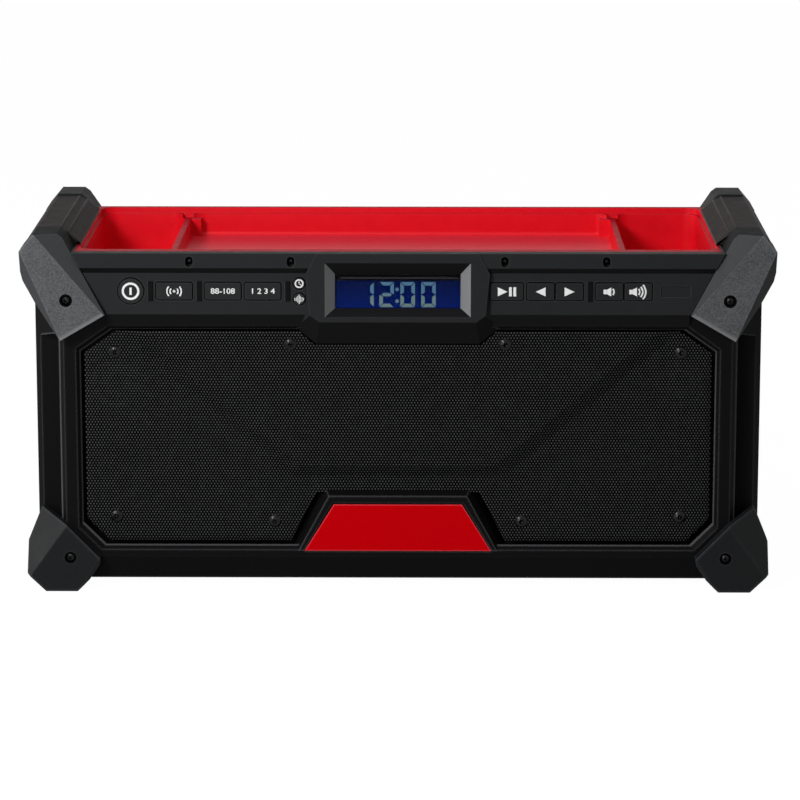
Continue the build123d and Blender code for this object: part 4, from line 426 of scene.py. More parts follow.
def perforated(first, last, name, material):
    """The sheet between two x values, as hexagonal cells that fill the plane. A cell holds a six-sided hole where
    it has room for one, and is whole where it doesn't. Corners that fall outside the sheet are moved to its
    edge. Front, back and the holes' walls are one closed skin."""
    rows = np.arange(math.floor((OPENING[0][1] - 2) / ROW_PITCH), math.ceil((OPENING[-1][1] + 2) / ROW_PITCH))
    columns = np.arange(math.floor(-SHEET_SPAN / HOLE_PITCH), math.ceil(SHEET_SPAN / HOLE_PITCH))
    column, row = [a.ravel() for a in np.meshgrid(columns, rows)]
    centres = np.stack([(column + (row % 2) / 2) * HOLE_PITCH, row * ROW_PITCH], axis=1)
    centres = centres[(centres[:, 0] >= first) & (centres[:, 0] < last)]
    corner = np.array([(0, 2 / 3), (-0.5, 1 / 3), (-0.5, -1 / 3), (0, -2 / 3), (0.5, -1 / 3), (0.5, 1 / 3)])
    cells = centres[:, None] + corner[None] * (HOLE_PITCH, ROW_PITCH)
    room = sheet_room(cells.reshape(-1, 2))[0].reshape(-1, 6)
    kept = (room > 0.05).sum(axis=1) >= 1
    centres, cells, room = centres[kept], cells[kept], room[kept]
    flat = cells.reshape(-1, 2)
    for _ in range(3):
        depth, way = sheet_room(flat)
        flat = flat + way * np.minimum(depth, 0)[:, None]
    screws = np.array(both_sides(GRILLE_SCREWS))
    clear = np.linalg.norm(centres[:, None] - screws[None], axis=2).min(axis=1) > DIMPLE_RADIUS
    outer = inside_by(centres, whole(OPENING))[0] > EDGE_PLAIN + SHEET_GAP
    holed = clear & outer & (sheet_room(centres)[0] > CUT_PLAIN)
    hole = centres[:, None] + corner[None] * (HOLE_RADIUS * 2 / 3 ** 0.5, HOLE_RADIUS * 1.5)
    # Corners that neighbouring cells share become one point
    _, index, where = np.unique(np.round(flat * 200).astype(np.int64), axis=0, return_index=True,
                                return_inverse=True)
    where = where.reshape(-1, 6)
    rim = flat[index]
    holes = hole[holed].reshape(-1, 2)
    plane = np.concatenate([rim, holes])
    y = sheet_y(plane)
    count = len(plane)
    front = np.stack([plane[:, 0], y, plane[:, 1]], axis=1)
    back = np.stack([plane[:, 0], y + SHEET, plane[:, 1]], axis=1)
    outer_ring = where[holed]
    inner_ring = len(rim) + np.arange(len(holes)).reshape(-1, 6)
    around = np.roll(np.arange(6), -1)
    ring = np.stack([outer_ring, outer_ring[:, around], inner_ring[:, around], inner_ring], axis=2).reshape(-1, 4)
    wall = np.stack([inner_ring, inner_ring[:, around], inner_ring[:, around] + count, inner_ring + count],
                    axis=2).reshape(-1, 4)
    faces = ring[:, ::-1].tolist() + (ring + count).tolist() + wall[:, ::-1].tolist()
    for cell in where[~holed].tolist():
        cell = [v for k, v in enumerate(cell) if v != cell[k - 1]]
        if len(set(cell)) == len(cell) and len(cell) >= 3:
            faces.append(cell[::-1])
            faces.append([v + count for v in cell])
    piece = place_mesh(name, np.concatenate([front, back]) * MM, faces, material)
    work = bmesh.new()
    work.from_mesh(piece.data)
    work.verts.ensure_lookup_table()
    for edge in [edge for edge in work.edges if edge.is_boundary]:
        a, b = sorted(v.index for v in edge.verts)
        if b < count:
            work.faces.new([work.verts[k] for k in (a, b, b + count, a + count)])
    bmesh.ops.recalc_face_normals(work, faces=work.faces)
    work.to_mesh(piece.data)
    work.free()
    return piece


COAT_BLACK = "#070708"
# Painted highlight: the pale glints on the sheet's webs
GLINT_GREY = "#525354"
GLINT_RISE = 0.12             # of a row pitch
GLINT_HALF = (0.26, 0.12)     # of a hole pitch: where a painted glint starts, and where it is whole
GLINT_TALL = (0.3, 0.17)      # of a row pitch


def coated_sheet():
    """Black powder coat with a painted highlight: a pale glint on the web between two holes of a row, which stands
    in for light caught by the holes' edges. Counted in pitches from the holes, a glint is where the way along the
    row is near a half and the height is a little over the row's middle."""
    material, tree = empty_material("powder_coated_steel")
    place = add(tree, "TexCoord").outputs["Object"]
    axes = add(tree, "SeparateXYZ", {0: place})
    rows = add(tree, "Math", {0: axes.outputs["Z"], 1: ROW_PITCH * MM}, operation="DIVIDE")
    row = add(tree, "Math", {0: rows}, operation="ROUND")
    odd = add(tree, "Math", {0: row, 1: 1.0}, operation="PINGPONG")
    columns = add(tree, "Math", {0: axes.outputs["X"], 1: HOLE_PITCH * MM}, operation="DIVIDE")
    columns = add(tree, "Math", {0: odd, 1: -0.5, 2: columns}, operation="MULTIPLY_ADD")
    along = add(tree, "Math", {0: columns}, operation="FRACT")
    height = add(tree, "Math", {0: rows, 1: row}, operation="SUBTRACT")
    shares = []
    for way, middle, (start, whole_at) in ((along, 0.5, GLINT_HALF), (height, GLINT_RISE, GLINT_TALL)):
        off = add(tree, "Math", {0: way, 1: middle}, operation="SUBTRACT")
        off = add(tree, "Math", {0: off}, operation="ABSOLUTE")
        shares.append(add(tree, "MapRange", {"Value": off, "From Min": start, "From Max": whole_at}))
    clouds = add(tree, "TexNoise", {"Vector": place, "Scale": 1 / (6 * MM)})
    patchy = add(tree, "MapRange", {"Value": clouds, "From Min": 0.3, "From Max": 0.7, "To Min": 0.75, "To Max": 1.0})
    bead = product(tree, *shares, patchy)
    tint = add(tree, "Mix", {0: bead, 6: linear(COAT_BLACK), 7: linear(GLINT_GREY)}, data_type="RGBA")
    skin = add(tree, "BsdfPrincipled", {"Base Color": tint.outputs[2], "Roughness": 0.45,
                                        "Specular IOR Level": 0.02})
    add(tree, "OutputMaterial", {"Surface": skin})
    return material


powder_coat = coated_sheet()
cuts = np.linspace(-SHEET_SPAN, SHEET_SPAN, GRILLE_PARTS + 1)
for part in range(GRILLE_PARTS):
    mesh_piece = perforated(cuts[part], cuts[part + 1], f"grille_sheet_{part + 1}", powder_coat)
    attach(mesh_piece, "radio")
    if part == 0:
        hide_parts("speaker_grille")


# ---- The screws ----
# Black pan-head machine screws with a six-lobed drive. Eight hold the grille, eight the bumpers, and smaller
# ones in slots hold the control panel. The back shell's long screws sit deep in their wells.
SCREW_TURN = 48              # points round a head
SHANK = 0.45                 # of a head's radius
black_zinc = metal("black_zinc_plated_steel", "#232324", 0.28, 0.3)


def tube_faces(rings, n):
    """Faces that join rings of n points each into a closed tube, with one flat face at either end."""
    faces = []
    for ring in range(rings - 1):
        a, b = ring * n + np.arange(n), ring * n + np.roll(np.arange(n), -1)
        faces += np.stack([a, b, b + n, a + n], axis=1).tolist()
    return faces + [list(range(n)), list(range((rings - 1) * n, rings * n))]


def soften(piece, corner, flat_ends=False):
    """Turns all faces outwards, and shades smoothly over edges that bend less than a corner in degrees."""
    work = bmesh.new()
    work.from_mesh(piece.data)
    bmesh.ops.recalc_face_normals(work, faces=work.faces)
    for edge in work.edges:
        edge.smooth = edge.calc_face_angle(0) < math.radians(corner)
    for face in work.faces:
        face.smooth = len(face.verts) == 4 or not flat_ends
    work.to_mesh(piece.data)
    work.free()


def screw(name, x, z, y, facing, radius, height, shank_end):
    """A pan head on a shank along Y, from the y of the head's foot. The head is a surface of revolution whose
    profile is a low dome. Its middle is sunk where a point is inside the drive, a circle whose radius swells and
    shrinks six times in a turn."""
    turn = np.linspace(0, 2 * math.pi, SCREW_TURN, endpoint=False)
    drive = radius * (0.42 + 0.07 * np.cos(6 * turn))
    rings = [(0.02 * drive, -0.55), (0.97 * drive, -0.55), (drive, 0.96)]
    steps = [(share, math.sqrt(1 - (share * 0.93) ** 2)) for share in (0.62, 0.8, 0.92, 0.98, 1.0)]
    steps += [(1.0, 0.0), (SHANK, 0.0), (SHANK, (shank_end - y) * facing / height)]
    rings += [(np.full(SCREW_TURN, radius * share), up) for share, up in steps]
    points = [np.stack([x + r * np.cos(turn), y + facing * height * np.full(SCREW_TURN, up), z + r * np.sin(turn)],
                       axis=1) for r, up in rings]
    piece = place_mesh(name, np.concatenate(points) * MM, tube_faces(len(rings), SCREW_TURN), black_zinc)
    soften(piece, 35)
    return piece


def screw_set(node, screws):
    """All the screws of one CAD node. The first stands for the node."""
    for number, words in enumerate(screws, 1):
        piece = screw(f"{node}_{number}", *words)
        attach(piece, "radio")
        if number == 1:
            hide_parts(node)


# A screw is its x and z, the y of its head's foot, the way it faces, its head's radius and height, and the y of
# its shank's end, in mm
BUMPER_SCREW_X, UPPER_SCREW_Z, LOWER_SCREW_Z = 175.6, 158.8, 18.6
WOOFER_X, WOOFER_Z = 90, 82.75
WOOFER_SCREW = 28.6                      # from a woofer's axis, along x and along z
PROUD_SCREW_X = GRILLE_SCREWS[1][0]      # of the screw that stands on the raised middle
screw_set("grille_screws", both_sides([(x, z, SHEET_FRONT - (FOLD_RISE if x == PROUD_SCREW_X else 0), -1, 3.2, 1.6,
                                        -71) for x, z in GRILLE_SCREWS]))
screw_set("bumper_screws", both_sides([(BUMPER_SCREW_X, z, way * 90, way, 2.6, 2.0, way * 77)
                                       for z in (UPPER_SCREW_Z, LOWER_SCREW_Z) for way in (-1, 1)]))
screw_set("panel_screws", both_sides([(x, 179.4, -87, -1, 1.9, 1.4, -81) for x in (56.6, 110.3)]))
screw_set("housing_screws", both_sides([(x, z, 16, 1, 3.3, 3, -24)
                                        for x, z in ((118, 18), (118, 138), (183.5, 82.75))]))
screw_set("speaker_screws", [(x + side * WOOFER_X, z + WOOFER_Z, -73, -1, 2.2, 1.5, -72.9) for side in (-1, 1)
                             for x in (-WOOFER_SCREW, WOOFER_SCREW) for z in (-WOOFER_SCREW, WOOFER_SCREW)])


# ---- The badge plate ----
# A trapezoid of glossy red acrylic in a black frame at the foot of the grille. It is bare.
# Its paler corner colour is a painted highlight
badge_red = moulded("glossy_red_acrylic", "#c4000a", 1.5, 0.004, 0.3, mottle=0.03, edge=0.5,
                    gloss=0.02, edge_highlight="#e04048")
dress("badge_plate", badge_red)


# ---- The tool tray ----
# One red polypropylene tray lies in the housing's top, with a shallow middle and two deep ends. It is satin. The
# tops of its rim are darkened by painted shade, and its shallow floor is painted paler as a painted reflection.
TRAY_RED = "#dc0f20"
# Painted shade on the tops of the rim
RIM_SHADE_RED = "#a80f20"
FLOOR_REFLECTION_RED = "#cc3848"        # painted reflection, paler on the shallow floor
TRAY_RIM = ((-180, -92, 171.5), (180, 92, 190))          # mm, round the rim and the tops of the dividers
TRAY_FLOOR = ((-118, -92, 160), (118, 92, 180))          # mm, the shallow middle
tray_red = moulded("red_polypropylene", TRAY_RED, 0.5, 0.008, 0.38, mottle=0.05, edge=0.7, gloss=0.2)
tree = tray_red.node_tree
# Painted shade on the rim's upward faces
repaint(tray_red, RIM_SHADE_RED, product(tree, faces_way(tree, 2, 0.5, 0.8), within(tree, *TRAY_RIM)), gloss=0.01)
# Painted reflection: the shallow floor is painted paler
repaint(tray_red, FLOOR_REFLECTION_RED, product(tree, faces_way(tree, 2, 0.9, 0.97), within(tree, *TRAY_FLOOR)), cover=0.6)
dress("top_tray", tray_red)


# ---- The control panel ----
# One black ABS moulding with a fine etched texture: the key strip, the top strip over it and the hexagonal block
# round the display, whose skirt slopes down over the grille. The window's side bevels carry a painted reflection,
# faces that slope up or down carry painted shade, and the walls of the holes that the keys stand in carry painted
# shadow.
PANEL_BLACK = "#232425"
BEVEL_REFLECTION_GREY = "#797a7b"       # painted reflection on the bevels at both sides of the window
SLOPE_SHADE_BLACK = "#161617"      # painted shade on faces that slope up or down
GAP_SHADE_BLACK = "#09090a"        # painted shadow on the walls of the keys' holes
RIB_BLACK = "#111112"
WINDOW_BOX = ((-39.5, -90.6, 148), (39.5, -85, 180))     # mm
KEY_ROWS = ((-150, -48.9), (48.9, 125))                  # x of both rows of keys
KEYS_FROM, KEYS_TO = 155.5, 171                          # z
RIBS_AT = (-131.3, -105.5, -58.6, 101.4)                 # x of the ribs between keys
RIB_FROM, RIB_TO = 157.9, 168.6                          # z
STRIP_FRONT, STRIP_BACK = -93, -80                       # y round the key strip
# Its paler corner colour is a painted highlight
abs_black = moulded("etched_abs", PANEL_BLACK, 0.4, 0.02, 0.44, mottle=0.1, edge=0.4, gloss=0.05, edge_highlight="#38393a")
panel_black = abs_black.copy()
panel_black.name = "etched_abs_with_painted_bevel_reflections"
tree = panel_black.node_tree
# Painted reflection on the window's side bevels
repaint(panel_black, BEVEL_REFLECTION_GREY, product(tree, faces_way(tree, 0, 0.4, 0.5), within(tree, *WINDOW_BOX)))
# Painted shade on faces that slope up or down
repaint(panel_black, SLOPE_SHADE_BLACK, faces_way(tree, 2, 0.22, 0.35), gloss=0.02, cover=0.9)
# Painted shadow on the walls of the holes that the keys stand in
for left, right in KEY_ROWS:
    row = within(tree, (left, STRIP_FRONT, KEYS_FROM), (right, STRIP_BACK, KEYS_TO))
    repaint(panel_black, GAP_SHADE_BLACK, product(tree, faces_way(tree, 1, 0.9, 0.6), row), gloss=0.02)
for x in RIBS_AT:
    rib = within(tree, (x - 0.9, STRIP_FRONT, RIB_FROM), (x + 1.6, STRIP_BACK, RIB_TO))
    repaint(panel_black, RIB_BLACK, rib, gloss=0.02)
dress("control_panel", panel_black)


# ---- The display ----
# A blue backlit liquid crystal display behind a clear acrylic pane. Its digits show the time, the upper halves
# bluish and the lower halves greenish, under a black mask.
GLASS_FRONT = -83.86         # y of the picture, just in front of the display module
DIGIT_FOOT, DIGIT_TOP = 154.1, 167.6
DIGIT_WIDTH = 7.7
SEGMENT = 2.0                # mm, width of a segment
SEGMENT_GAP = 0.14           # mm from a segment to the mitre between two
DIGITS = ((1, -20.5), (2, -9.8), (0, 1.35), (0, 12.4))     # digit and its left side
SEGMENTS_ON = {0: "abcdef", 1: "bc", 2: "abged"}
COLON_X, COLON_AT, COLON_RADIUS = -0.4, (163.6, 157.3), 0.95
PICTURE_HALF = 33.2          # half of the width of the picture and of the mask over it
PICTURE_FOOT, PICTURE_TOP, MASK_TOP = 152.4, 168.3, 172.1
INK_LAYER = 0.02             # mm that print stands proud of the picture


def picture(name, shapes, y, material, body="radio", thickness=0.04):
    """Flat shapes on a face that looks along -Y: each is an outline of (x, z) points, given as a thin prism."""
    points, faces = [], []
    for shape in shapes:
        shape = np.asarray(shape, float)
        area = np.sum(shape[:, 0] * np.roll(shape[:, 1], -1) - np.roll(shape[:, 0], -1) * shape[:, 1])
        shape = shape if area > 0 else shape[::-1]
        start, n = len(points), len(shape)
        points += [(x, y, z) for x, z in shape] + [(x, y + thickness, z) for x, z in shape]
        faces.append(list(range(start, start + n)))
        faces.append(list(range(start + 2 * n - 1, start + n - 1, -1)))
        faces += [(start + k, start + n + k, start + n + (k + 1) % n, start + (k + 1) % n) for k in range(n)]
    piece = place_mesh(name, np.array(points) * MM, faces, material)
    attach(piece, body)
    return piece


def segment_shapes(digit, left):
    """The lit segments of one digit. An outer segment is a bar along the digit's edge, whose ends are cut at 45
    degrees towards its neighbours, and the middle one is pointed at both ends."""
    right, middle, gap = left + DIGIT_WIDTH, (DIGIT_FOOT + DIGIT_TOP) / 2, SEGMENT_GAP
    wide, high = DIGIT_WIDTH, DIGIT_TOP - DIGIT_FOOT
    inner, half = SEGMENT - gap, SEGMENT / 2
    across = np.array([(gap * 2, 0), (wide - gap * 2, 0), (wide - gap * 2 - inner, inner), (gap * 2 + inner, inner)])
    along = np.array([(0, gap * 2), (inner, gap * 2 + inner), (inner, high / 2 - half - gap * 2),
                      (half * 0.5, high / 2 - gap * 2), (0, high / 2 - gap * 2)])
    mid = np.array([(half * 1.2, 0), (half * 2, -half * 0.9), (wide - half * 2, -half * 0.9), (wide - half * 1.2, 0),
                    (wide - half * 2, half * 0.9), (half * 2, half * 0.9)])
    shapes = {"a": (left, DIGIT_TOP) + across * (1, -1), "d": (left, DIGIT_FOOT) + across,
              "e": (left, DIGIT_FOOT) + along, "f": (left, DIGIT_TOP) + along * (1, -1),
              "c": (right, DIGIT_FOOT) + along * (-1, 1), "b": (right, DIGIT_TOP) + along * (-1, -1),
              "g": (left, middle) + mid}
    return [shapes[key] for key in SEGMENTS_ON[digit]]


def backlit(name, low, high, strength, blend=0.5):
    """A backlit liquid crystal face: its colour runs from one low on the display to one high on it. The blend is
    half the width of the run, as a share of the digits' height."""
    material, tree = empty_material(name)
    place = add(tree, "TexCoord").outputs["Object"]
    axes = add(tree, "SeparateXYZ", {0: place})
    rise = add(tree, "MapRange", {"Value": axes.outputs["Z"], "From Min": DIGIT_FOOT * MM,
                                  "From Max": DIGIT_TOP * MM})
    step = add(tree, "MapRange", {"Value": rise, "From Min": 0.5 - blend, "From Max": 0.5 + blend})
    tint = add(tree, "Mix", {0: step, 6: linear(low), 7: linear(high)}, data_type="RGBA")
    skin = add(tree, "BsdfPrincipled", {"Base Color": tint.outputs[2], "Roughness": 0.3, "Specular IOR Level": 0.02,
                                        "Emission Color": tint.outputs[2], "Emission Strength": strength})
    add(tree, "OutputMaterial", {"Surface": skin})
    return material


def box_shape(x0, x1, z0, z1):
    """A rectangle as an outline."""
    return [(x0, z0), (x1, z0), (x1, z1), (x0, z1)]


lcd_blue = backlit("blue_lcd_film", "#001352", "#000a34", 0.3)
lcd_ink = backlit("lcd_segments", "#5e7472", "#496a80", 0.3, blend=0.06)
mask_ink = moulded("black_screen_print", "#020202", 0.5, 0.002, 0.5)
mask_line = moulded("grey_screen_print", "#3c3c40", 0.5, 0.002, 0.5)
dress("lcd_module", mask_ink)
for name, bottom, top, finish in (("lcd_picture", PICTURE_FOOT, PICTURE_TOP, lcd_blue),
                                  ("lcd_mask", PICTURE_TOP, MASK_TOP, mask_ink)):
    picture(name, [box_shape(-PICTURE_HALF, PICTURE_HALF, bottom, top)], GLASS_FRONT, finish)
picture("lcd_mask_line", [box_shape(-30.5, 31.5, 169.5, 170.0)], GLASS_FRONT - INK_LAYER, mask_line)
digit_shapes = [shape for digit, left in DIGITS for shape in segment_shapes(digit, left)]
turn = np.linspace(0, 2 * math.pi, 20, endpoint=False)
dot = COLON_RADIUS * np.stack([np.cos(turn), np.sin(turn)], axis=1)
digit_shapes += [dot + (COLON_X, z) for z in COLON_AT]
picture("lcd_digits", digit_shapes, GLASS_FRONT - INK_LAYER, lcd_ink)


PANE_SHARE = 0.04            # how much of what is seen is the pane itself


def acrylic():
    """Clear cast acrylic with a hard coat: smooth, with a faint smear in the gloss."""
    material, tree = empty_material("clear_acrylic")
    place = add(tree, "TexCoord").outputs["Object"]
    smear = add(tree, "TexNoise", {"Vector": place, "Scale": 1 / (9 * MM)})
    gloss = add(tree, "MapRange", {"Value": smear, "To Min": 0.02, "To Max": 0.09})
    skin = add(tree, "BsdfPrincipled", {"Base Color": (1, 1, 1, 1), "Roughness": gloss, "IOR": 1.49,
                                        "Specular IOR Level": 0.02, "Transmission Weight": 1.0})
    clear = add(tree, "BsdfTransparent", {"Color": (0.97, 0.97, 0.98, 1)})
    mixed = add(tree, "MixShader", {0: PANE_SHARE, 1: clear, 2: skin})
    add(tree, "OutputMaterial", {"Surface": mixed})
    return material


dress("display_window", acrylic())


# ---- The keys ----
# Eleven keys of black silicone-coated ABS, each with a white sign printed on its face. A key's sign rides on the
# key. Where the band and the preset keys need words, they hold plain numbers.
KEY_FACE = -88.34            # y of the signs' fronts
SIGN_WHITE = "#f2f2f2"
NUMBERS = {"band": "88-108", "preset": "1 2 3 4"}
NUMBER_SIZE = 4.1            # mm
# Its paler corner colour is a painted highlight
key_black = moulded("coated_key_cap", "#1f2021", 0.25, 0.008, 0.36, mottle=0.08, edge=0.35, gloss=0.08,
                    edge_highlight="#424344")
# Painted shadow: the key caps' sides are painted near black
repaint(key_black, "#08080a", faces_way(key_black.node_tree, 1, 0.85, 0.5), gloss=0.02)
sign_ink = moulded("white_pad_print", SIGN_WHITE, 0.3, 0.004, 0.45, mottle=0.03)


def arc_shape(x, z, radius, width, start, end, points=28):
    """Part of a ring between two angles in degrees, as an outline: out along one radius, back along the other."""
    turn = np.radians(np.linspace(start, end, points))
    ring = [np.stack([x + r * np.cos(turn), z + r * np.sin(turn)], axis=1)
            for r in (radius - width / 2, radius + width / 2)]
    return np.concatenate([ring[0], ring[1][::-1]])


def ring_shapes(x, z, radius, width):
    """A whole ring as two halves."""
    return [arc_shape(x, z, radius, width, 0, 180), arc_shape(x, z, radius, width, 180, 360)]


def line_shape(a, b, width):
    """A straight stroke between two points."""
    a, b = np.array(a, float), np.array(b, float)
    way = (b - a) / np.linalg.norm(b - a)
    side = np.array([-way[1], way[0]]) * width / 2
    return [a - side, b - side, b + side, a + side]


def speaker_shapes(x, z):
    """A small loudspeaker: a box with a horn, 4.1 mm wide, from its left side."""
    return [box_shape(x, x + 1.7, z - 1.2, z + 1.2),
            [(x + 1.7, z - 1.2), (x + 4.1, z - 2.4), (x + 4.1, z + 2.4), (x + 1.7, z + 1.2)]]


def triangle(x, z, width, height, way):
    """A triangle that points left or right, about its own middle."""
    return [(x - way * width / 2, z - height / 2), (x + way * width / 2, z), (x - way * width / 2, z + height / 2)]


def middle_of(node):
    """Middle of a CAD node's front in mm, as (x, z)."""
    low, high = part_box(node)
    return (low[0] + high[0]) / 2 / MM, (low[2] + high[2]) / 2 / MM


def sign_of(name, x, z):
    """The outlines of one key's sign, about the key's middle."""
    if name == "power":
        return ring_shapes(x, z, 4.1, 1.2) + [line_shape((x, z - 2.0), (x, z + 2.0), 1.25)]
    if name == "wireless":
        waves = [arc_shape(x, z, r, 0.75, centre - 42, centre + 42) for r in (2.1, 3.8) for centre in (0, 180)]
        return waves + [arc_shape(x, z, 0.35, 0.7, 0, 359)]
    if name == "clock":
        return ring_shapes(x, z, 2.0, 0.75) + [line_shape((x, z - 0.25), (x, z + 1.2), 0.55),
                                               line_shape((x - 0.1, z + 0.1), (x + 1.0, z - 0.75), 0.55)]
    if name == "equalizer":
        return [line_shape((x + k * 0.76, z - h / 2), (x + k * 0.76, z + h / 2), 0.5 if k == 0 else 0.38)
                for k, h in zip(range(-3, 4), (1.4, 2.4, 3.3, 4.9, 3.3, 2.4, 1.4))]
    if name == "play_pause":
        bars = [line_shape((x + k, z - 2.5), (x + k, z + 2.5), 1.5) for k in (1.85, 4.15)]
        return [triangle(x - 2.3, z, 5.1, 4.9, 1)] + bars
    if name in ("previous", "next"):
        return [triangle(x, z, 5.3, 4.9, -1 if name == "previous" else 1)]
    waves = (2.3,) if name == "volume_down" else (2.3, 3.9, 5.5)
    left = x - (3.1 if name == "volume_down" else 4.8)
    return speaker_shapes(left, z) + [arc_shape(left + 3.2, z, r, 0.85, -44, 44) for r in waves]


def printed_number(name, words, x, z, body):
    """Numbers in a plain sans-serif face, as a flat mesh on a key."""
    letters = bpy.data.curves.new(name, "FONT")
    letters.body = words
    letters.size = NUMBER_SIZE * MM
    letters.align_x, letters.align_y = "CENTER", "CENTER"
    letters.offset = 0.07 * MM
    letters.extrude = 0.02 * MM
    holder = bpy.data.objects.new(name, letters)
    bpy.context.scene.collection.objects.link(holder)
    mesh = bpy.data.meshes.new_from_object(holder)
    bpy.data.objects.remove(holder)
    points = np.empty(len(mesh.vertices) * 3)
    mesh.vertices.foreach_get("co", points)
    points = points.reshape(-1, 3)
    points = np.stack([points[:, 0] * 1.12 + x * MM, KEY_FACE * MM - points[:, 2], points[:, 1] + z * MM], axis=1)
    mesh.vertices.foreach_set("co", points.ravel())
    mesh.materials.append(sign_ink)
    piece = bpy.data.objects.new(name, mesh)
    bpy.context.scene.collection.objects.link(piece)
    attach(piece, body)


for node in sorted(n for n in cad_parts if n.endswith("_button")):
    name = node[:-len("_button")]
    dress(node, key_black)
    x, z = middle_of(node)
    if name in NUMBERS:
        printed_number(f"{name}_numbers", NUMBERS[name], x, z, node)
    else:
        picture(f"{name}_sign", sign_of(name, x, z), KEY_FACE, sign_ink, body=node)


# ---- The carrying rails ----
# A steel bar runs from the front post to the back post on each side, inside a grey rubber sleeve with soft
# corners and two fine ridges along its crest.
galvanised = metal("zinc_plated_bar", "#b9bcc0", 0.35, 0.5, (1, 0.1, 1))
for side in ("left", "right"):
    dress(f"{side}_handle_bar", galvanised)
# Its paler corner colour is a painted highlight
sleeve_rubber = moulded("grey_santoprene", "#262222", 0.5, 0.02, 0.6, edge=0.5, gloss=0.02, edge_highlight="#5a5655")
SLEEVE_OUTLINE = ((194.6, 172), (199.8, 174.8), (199.8, 184.9), (193.5, 193), (180, 193), (176.6, 191), (171.8, 187),
                  (169.5, 184.3), (174.9, 184.2), (176, 176), (179.5, 172))     # mm, right sleeve, anticlockwise
SLEEVE_RADII = (2.5, 3.0, 2.0, 2.0, 3.0, 3.0, 3.0, 0.2, 0.3, 2.5, 2.5)
SLEEVE_ENDS = (-63.9, 49.9)
RIDGES = ((180.5, 193.0), (176.7, 190.4))
RIDGE_RISE, RIDGE_WIDTH = 0.7, 0.7


def round_outline(corners, radii, points=7):
    """A closed outline with each corner rounded by a curve: between the two tangent points, a quadratic blend of
    straight lines through the corner, which is close to an arc of that radius."""
    corners = np.array(corners, float)
    before, after = np.roll(corners, 1, axis=0), np.roll(corners, -1, axis=0)
    into = (before - corners) / np.linalg.norm(before - corners, axis=1, keepdims=True)
    out = (after - corners) / np.linalg.norm(after - corners, axis=1, keepdims=True)
    half = np.arccos(np.clip((into * out).sum(axis=1), -1, 1)) / 2
    room = np.minimum(np.linalg.norm(before - corners, axis=1), np.linalg.norm(after - corners, axis=1)) * 0.49
    reach = np.minimum(np.array(radii) / np.tan(half), room)[:, None, None]
    t = np.linspace(0, 1, points)[None, :, None]
    corner = corners[:, None]
    start, end = corner + into[:, None] * reach, corner + out[:, None] * reach
    return ((1 - t) ** 2 * start + 2 * t * (1 - t) * corner + t ** 2 * end).reshape(-1, 2)


def dense(outline, step):
    """The outline with points no further apart than a step."""
    ends = np.roll(outline, -1, axis=0)
    parts = []
    for a, b in zip(outline, ends):
        count = max(1, int(np.linalg.norm(b - a) / step))
        parts.append(a + (b - a) * np.linspace(0, 1, count, endpoint=False)[:, None])
    return np.concatenate(parts)


def sleeve(side):
    """The outline carried along Y. A point within a ridge's width of its line is pushed outwards by a cosine
    hump, and the outline shrinks by a quarter circle's share over the last millimetre at both ends."""
    outline = dense(round_outline(SLEEVE_OUTLINE, SLEEVE_RADII), 0.5)
    tangent = np.roll(outline, -1, axis=0) - np.roll(outline, 1, axis=0)
    normal = np.stack([tangent[:, 1], -tangent[:, 0]], axis=1) / np.linalg.norm(tangent, axis=1, keepdims=True)
    lift = np.zeros(len(outline))
    for ridge in RIDGES:
        gap = np.linalg.norm(outline - np.array(ridge), axis=1)
        near = outline[gap.argmin()]
        gap = np.linalg.norm(outline - near, axis=1)
        lift += RIDGE_RISE * np.cos(np.clip(gap / RIDGE_WIDTH, 0, 1) * math.pi / 2)
    t = np.array([0, 0.12, 0.35, 0.65, 1.0])
    inset = 1.0 * (1 - np.sqrt(1 - (1 - t) ** 2))
    ys = np.concatenate([SLEEVE_ENDS[0] + t, [SLEEVE_ENDS[0] + 3, SLEEVE_ENDS[1] - 3], SLEEVE_ENDS[1] - t[::-1]])
    insets = np.concatenate([inset, [0, 0], inset[::-1]])
    lifts = np.concatenate([np.zeros(5), [1, 1], np.zeros(5)])
    rings = (outline[None] - normal[None] * insets[:, None, None]
             + normal[None] * (lift[None] * lifts[:, None])[..., None])
    n = len(outline)
    points = np.concatenate([np.stack([side * ring[:, 0], np.full(n, y), ring[:, 1]], axis=1)
                             for ring, y in zip(rings, ys)])
    return points, tube_faces(len(ys), n)


for side, word in ((-1, "left"), (1, "right")):
    points, faces = sleeve(side)
    piece = place_mesh(f"{word}_sleeve", points * MM, faces, sleeve_rubber)
    soften(piece, 40, flat_ends=True)
    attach(piece, "radio")
    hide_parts(f"{word}_grip")
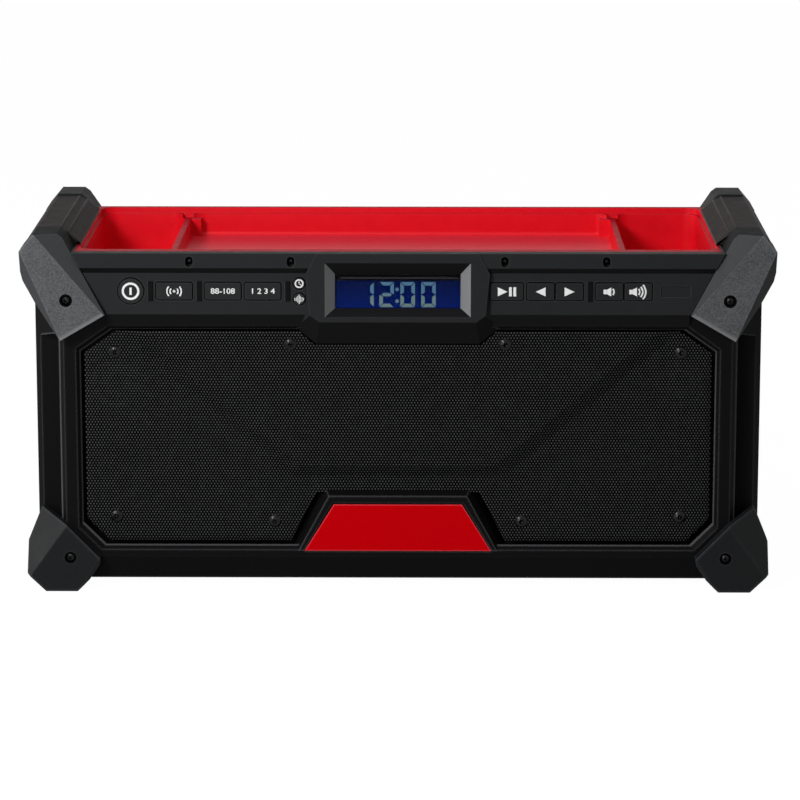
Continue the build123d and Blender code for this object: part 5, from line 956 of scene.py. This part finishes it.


# ---- The corner bumpers ----
# Eight caps of hard rubber over the housing's corners, each held by one screw. The upper front ones are grey with
# a coarse leather-like grain on their front facets, and all the others are darker and smoother. Painted shade
# darkens the upper ones' facets that turn away from the front and their tops, flanks and undersides, and the wells
# round all the screws; a painted highlight runs along the foot of the front facets.
GRAINED_GREY = "#4d4e50"
SLOPE_SHADE_GREY = "#37383a"       # painted shade on facets that turn away from the front
SIDE_SHADE_GREY = "#1d1e1f"      # painted shade on tops, flanks and undersides, which are also less glossy
REAR_GREY = "#1f2021"
FOOT_HIGHLIGHT_GREY = "#7c7d7f"        # painted highlight along the foot of the front facet
PLAIN_GREY = "#141516"
WELL_SHADE_BLACK = "#060606"       # painted shade in and round the wells that the screws sit in
FOOT_LINE = ((155.0, 151.0), (179.0, 137.0))             # x and z of the front facet's foot, in mm
REAR_BOX = ((-201, 0, 100), (201, 93, 195))              # mm, round the upper bumpers at the back
# The paler corner colours of both rubbers are painted highlights
coarse_rubber = moulded("coarse_grained_rubber", GRAINED_GREY, 0.75, 0.12, 0.45, mottle=0.45, cloud=0.15, edge=1.0,
                        gloss=0.17, edge_highlight="#646567")
plain_rubber = moulded("fine_grained_rubber", PLAIN_GREY, 0.7, 0.04, 0.42, mottle=0.2, cloud=0.15, edge=1.0,
                       gloss=0.08, edge_highlight="#303234")
tree = coarse_rubber.node_tree
# Painted shade on facets that turn away from the front
repaint(coarse_rubber, SLOPE_SHADE_GREY, faces_way(tree, 1, 0.97, 0.94), gloss=0.03, cover=0.85)
# Painted shade on tops, flanks and undersides
repaint(coarse_rubber, SIDE_SHADE_GREY, faces_way(tree, 1, 0.3, 0.2), gloss=0.0, cover=0.95)
repaint(coarse_rubber, REAR_GREY, within(tree, *REAR_BOX), gloss=0.01, cover=0.95)
# Painted highlight along the foot of the front facet
foot = product(tree, beyond_line(tree, *FOOT_LINE, 2.6, 0.8), faces_way(tree, 1, 0.94, 0.97))
repaint(coarse_rubber, FOOT_HIGHLIGHT_GREY, foot, cover=0.7)
# Painted shade in and round the screws' wells
repaint(coarse_rubber, WELL_SHADE_BLACK, near_axis(tree, BUMPER_SCREW_X, UPPER_SCREW_Z, 3.5), gloss=0.02)
well_shade = near_axis(plain_rubber.node_tree, BUMPER_SCREW_X, LOWER_SCREW_Z, 3.3)
repaint(plain_rubber, WELL_SHADE_BLACK, well_shade, gloss=0.02)
for end in ("front", "rear"):
    for level, rubber in (("top", coarse_rubber), ("bottom", plain_rubber)):
        for side in ("left", "right"):
            dress(f"{end}_{level}_{side}_bumper", rubber)


# ---- The battery bay ----
# A ribbed door on a steel pin closes the bay in the back, with a quarter-turn latch and a rubber seal. Inside,
# the battery pack slides on rails against its contact block, and a charging socket looks into the free space.
dress("battery_door", nylon)
dress("door_latch", abs_black)
dress("battery_pack", moulded("pack_abs", "#1d1e20", 0.4, 0.03, 0.5, edge=0.8))
dress("hinge_pin", galvanised)
dress("door_seal", butyl)
dress("terminal_block", socket_black)
dress("usb_socket", metal("nickel_plated_shell", "#c9c7c0", 0.25, 0.4))


# ---- The sockets at the back ----
# An audio jack and a power inlet share a shallow recess under a soft rubber flap, which hangs from a barrel
# between two ears.
dress("aux_socket", socket_black)
dress("dc_inlet", socket_black)
dress("port_flap", butyl)
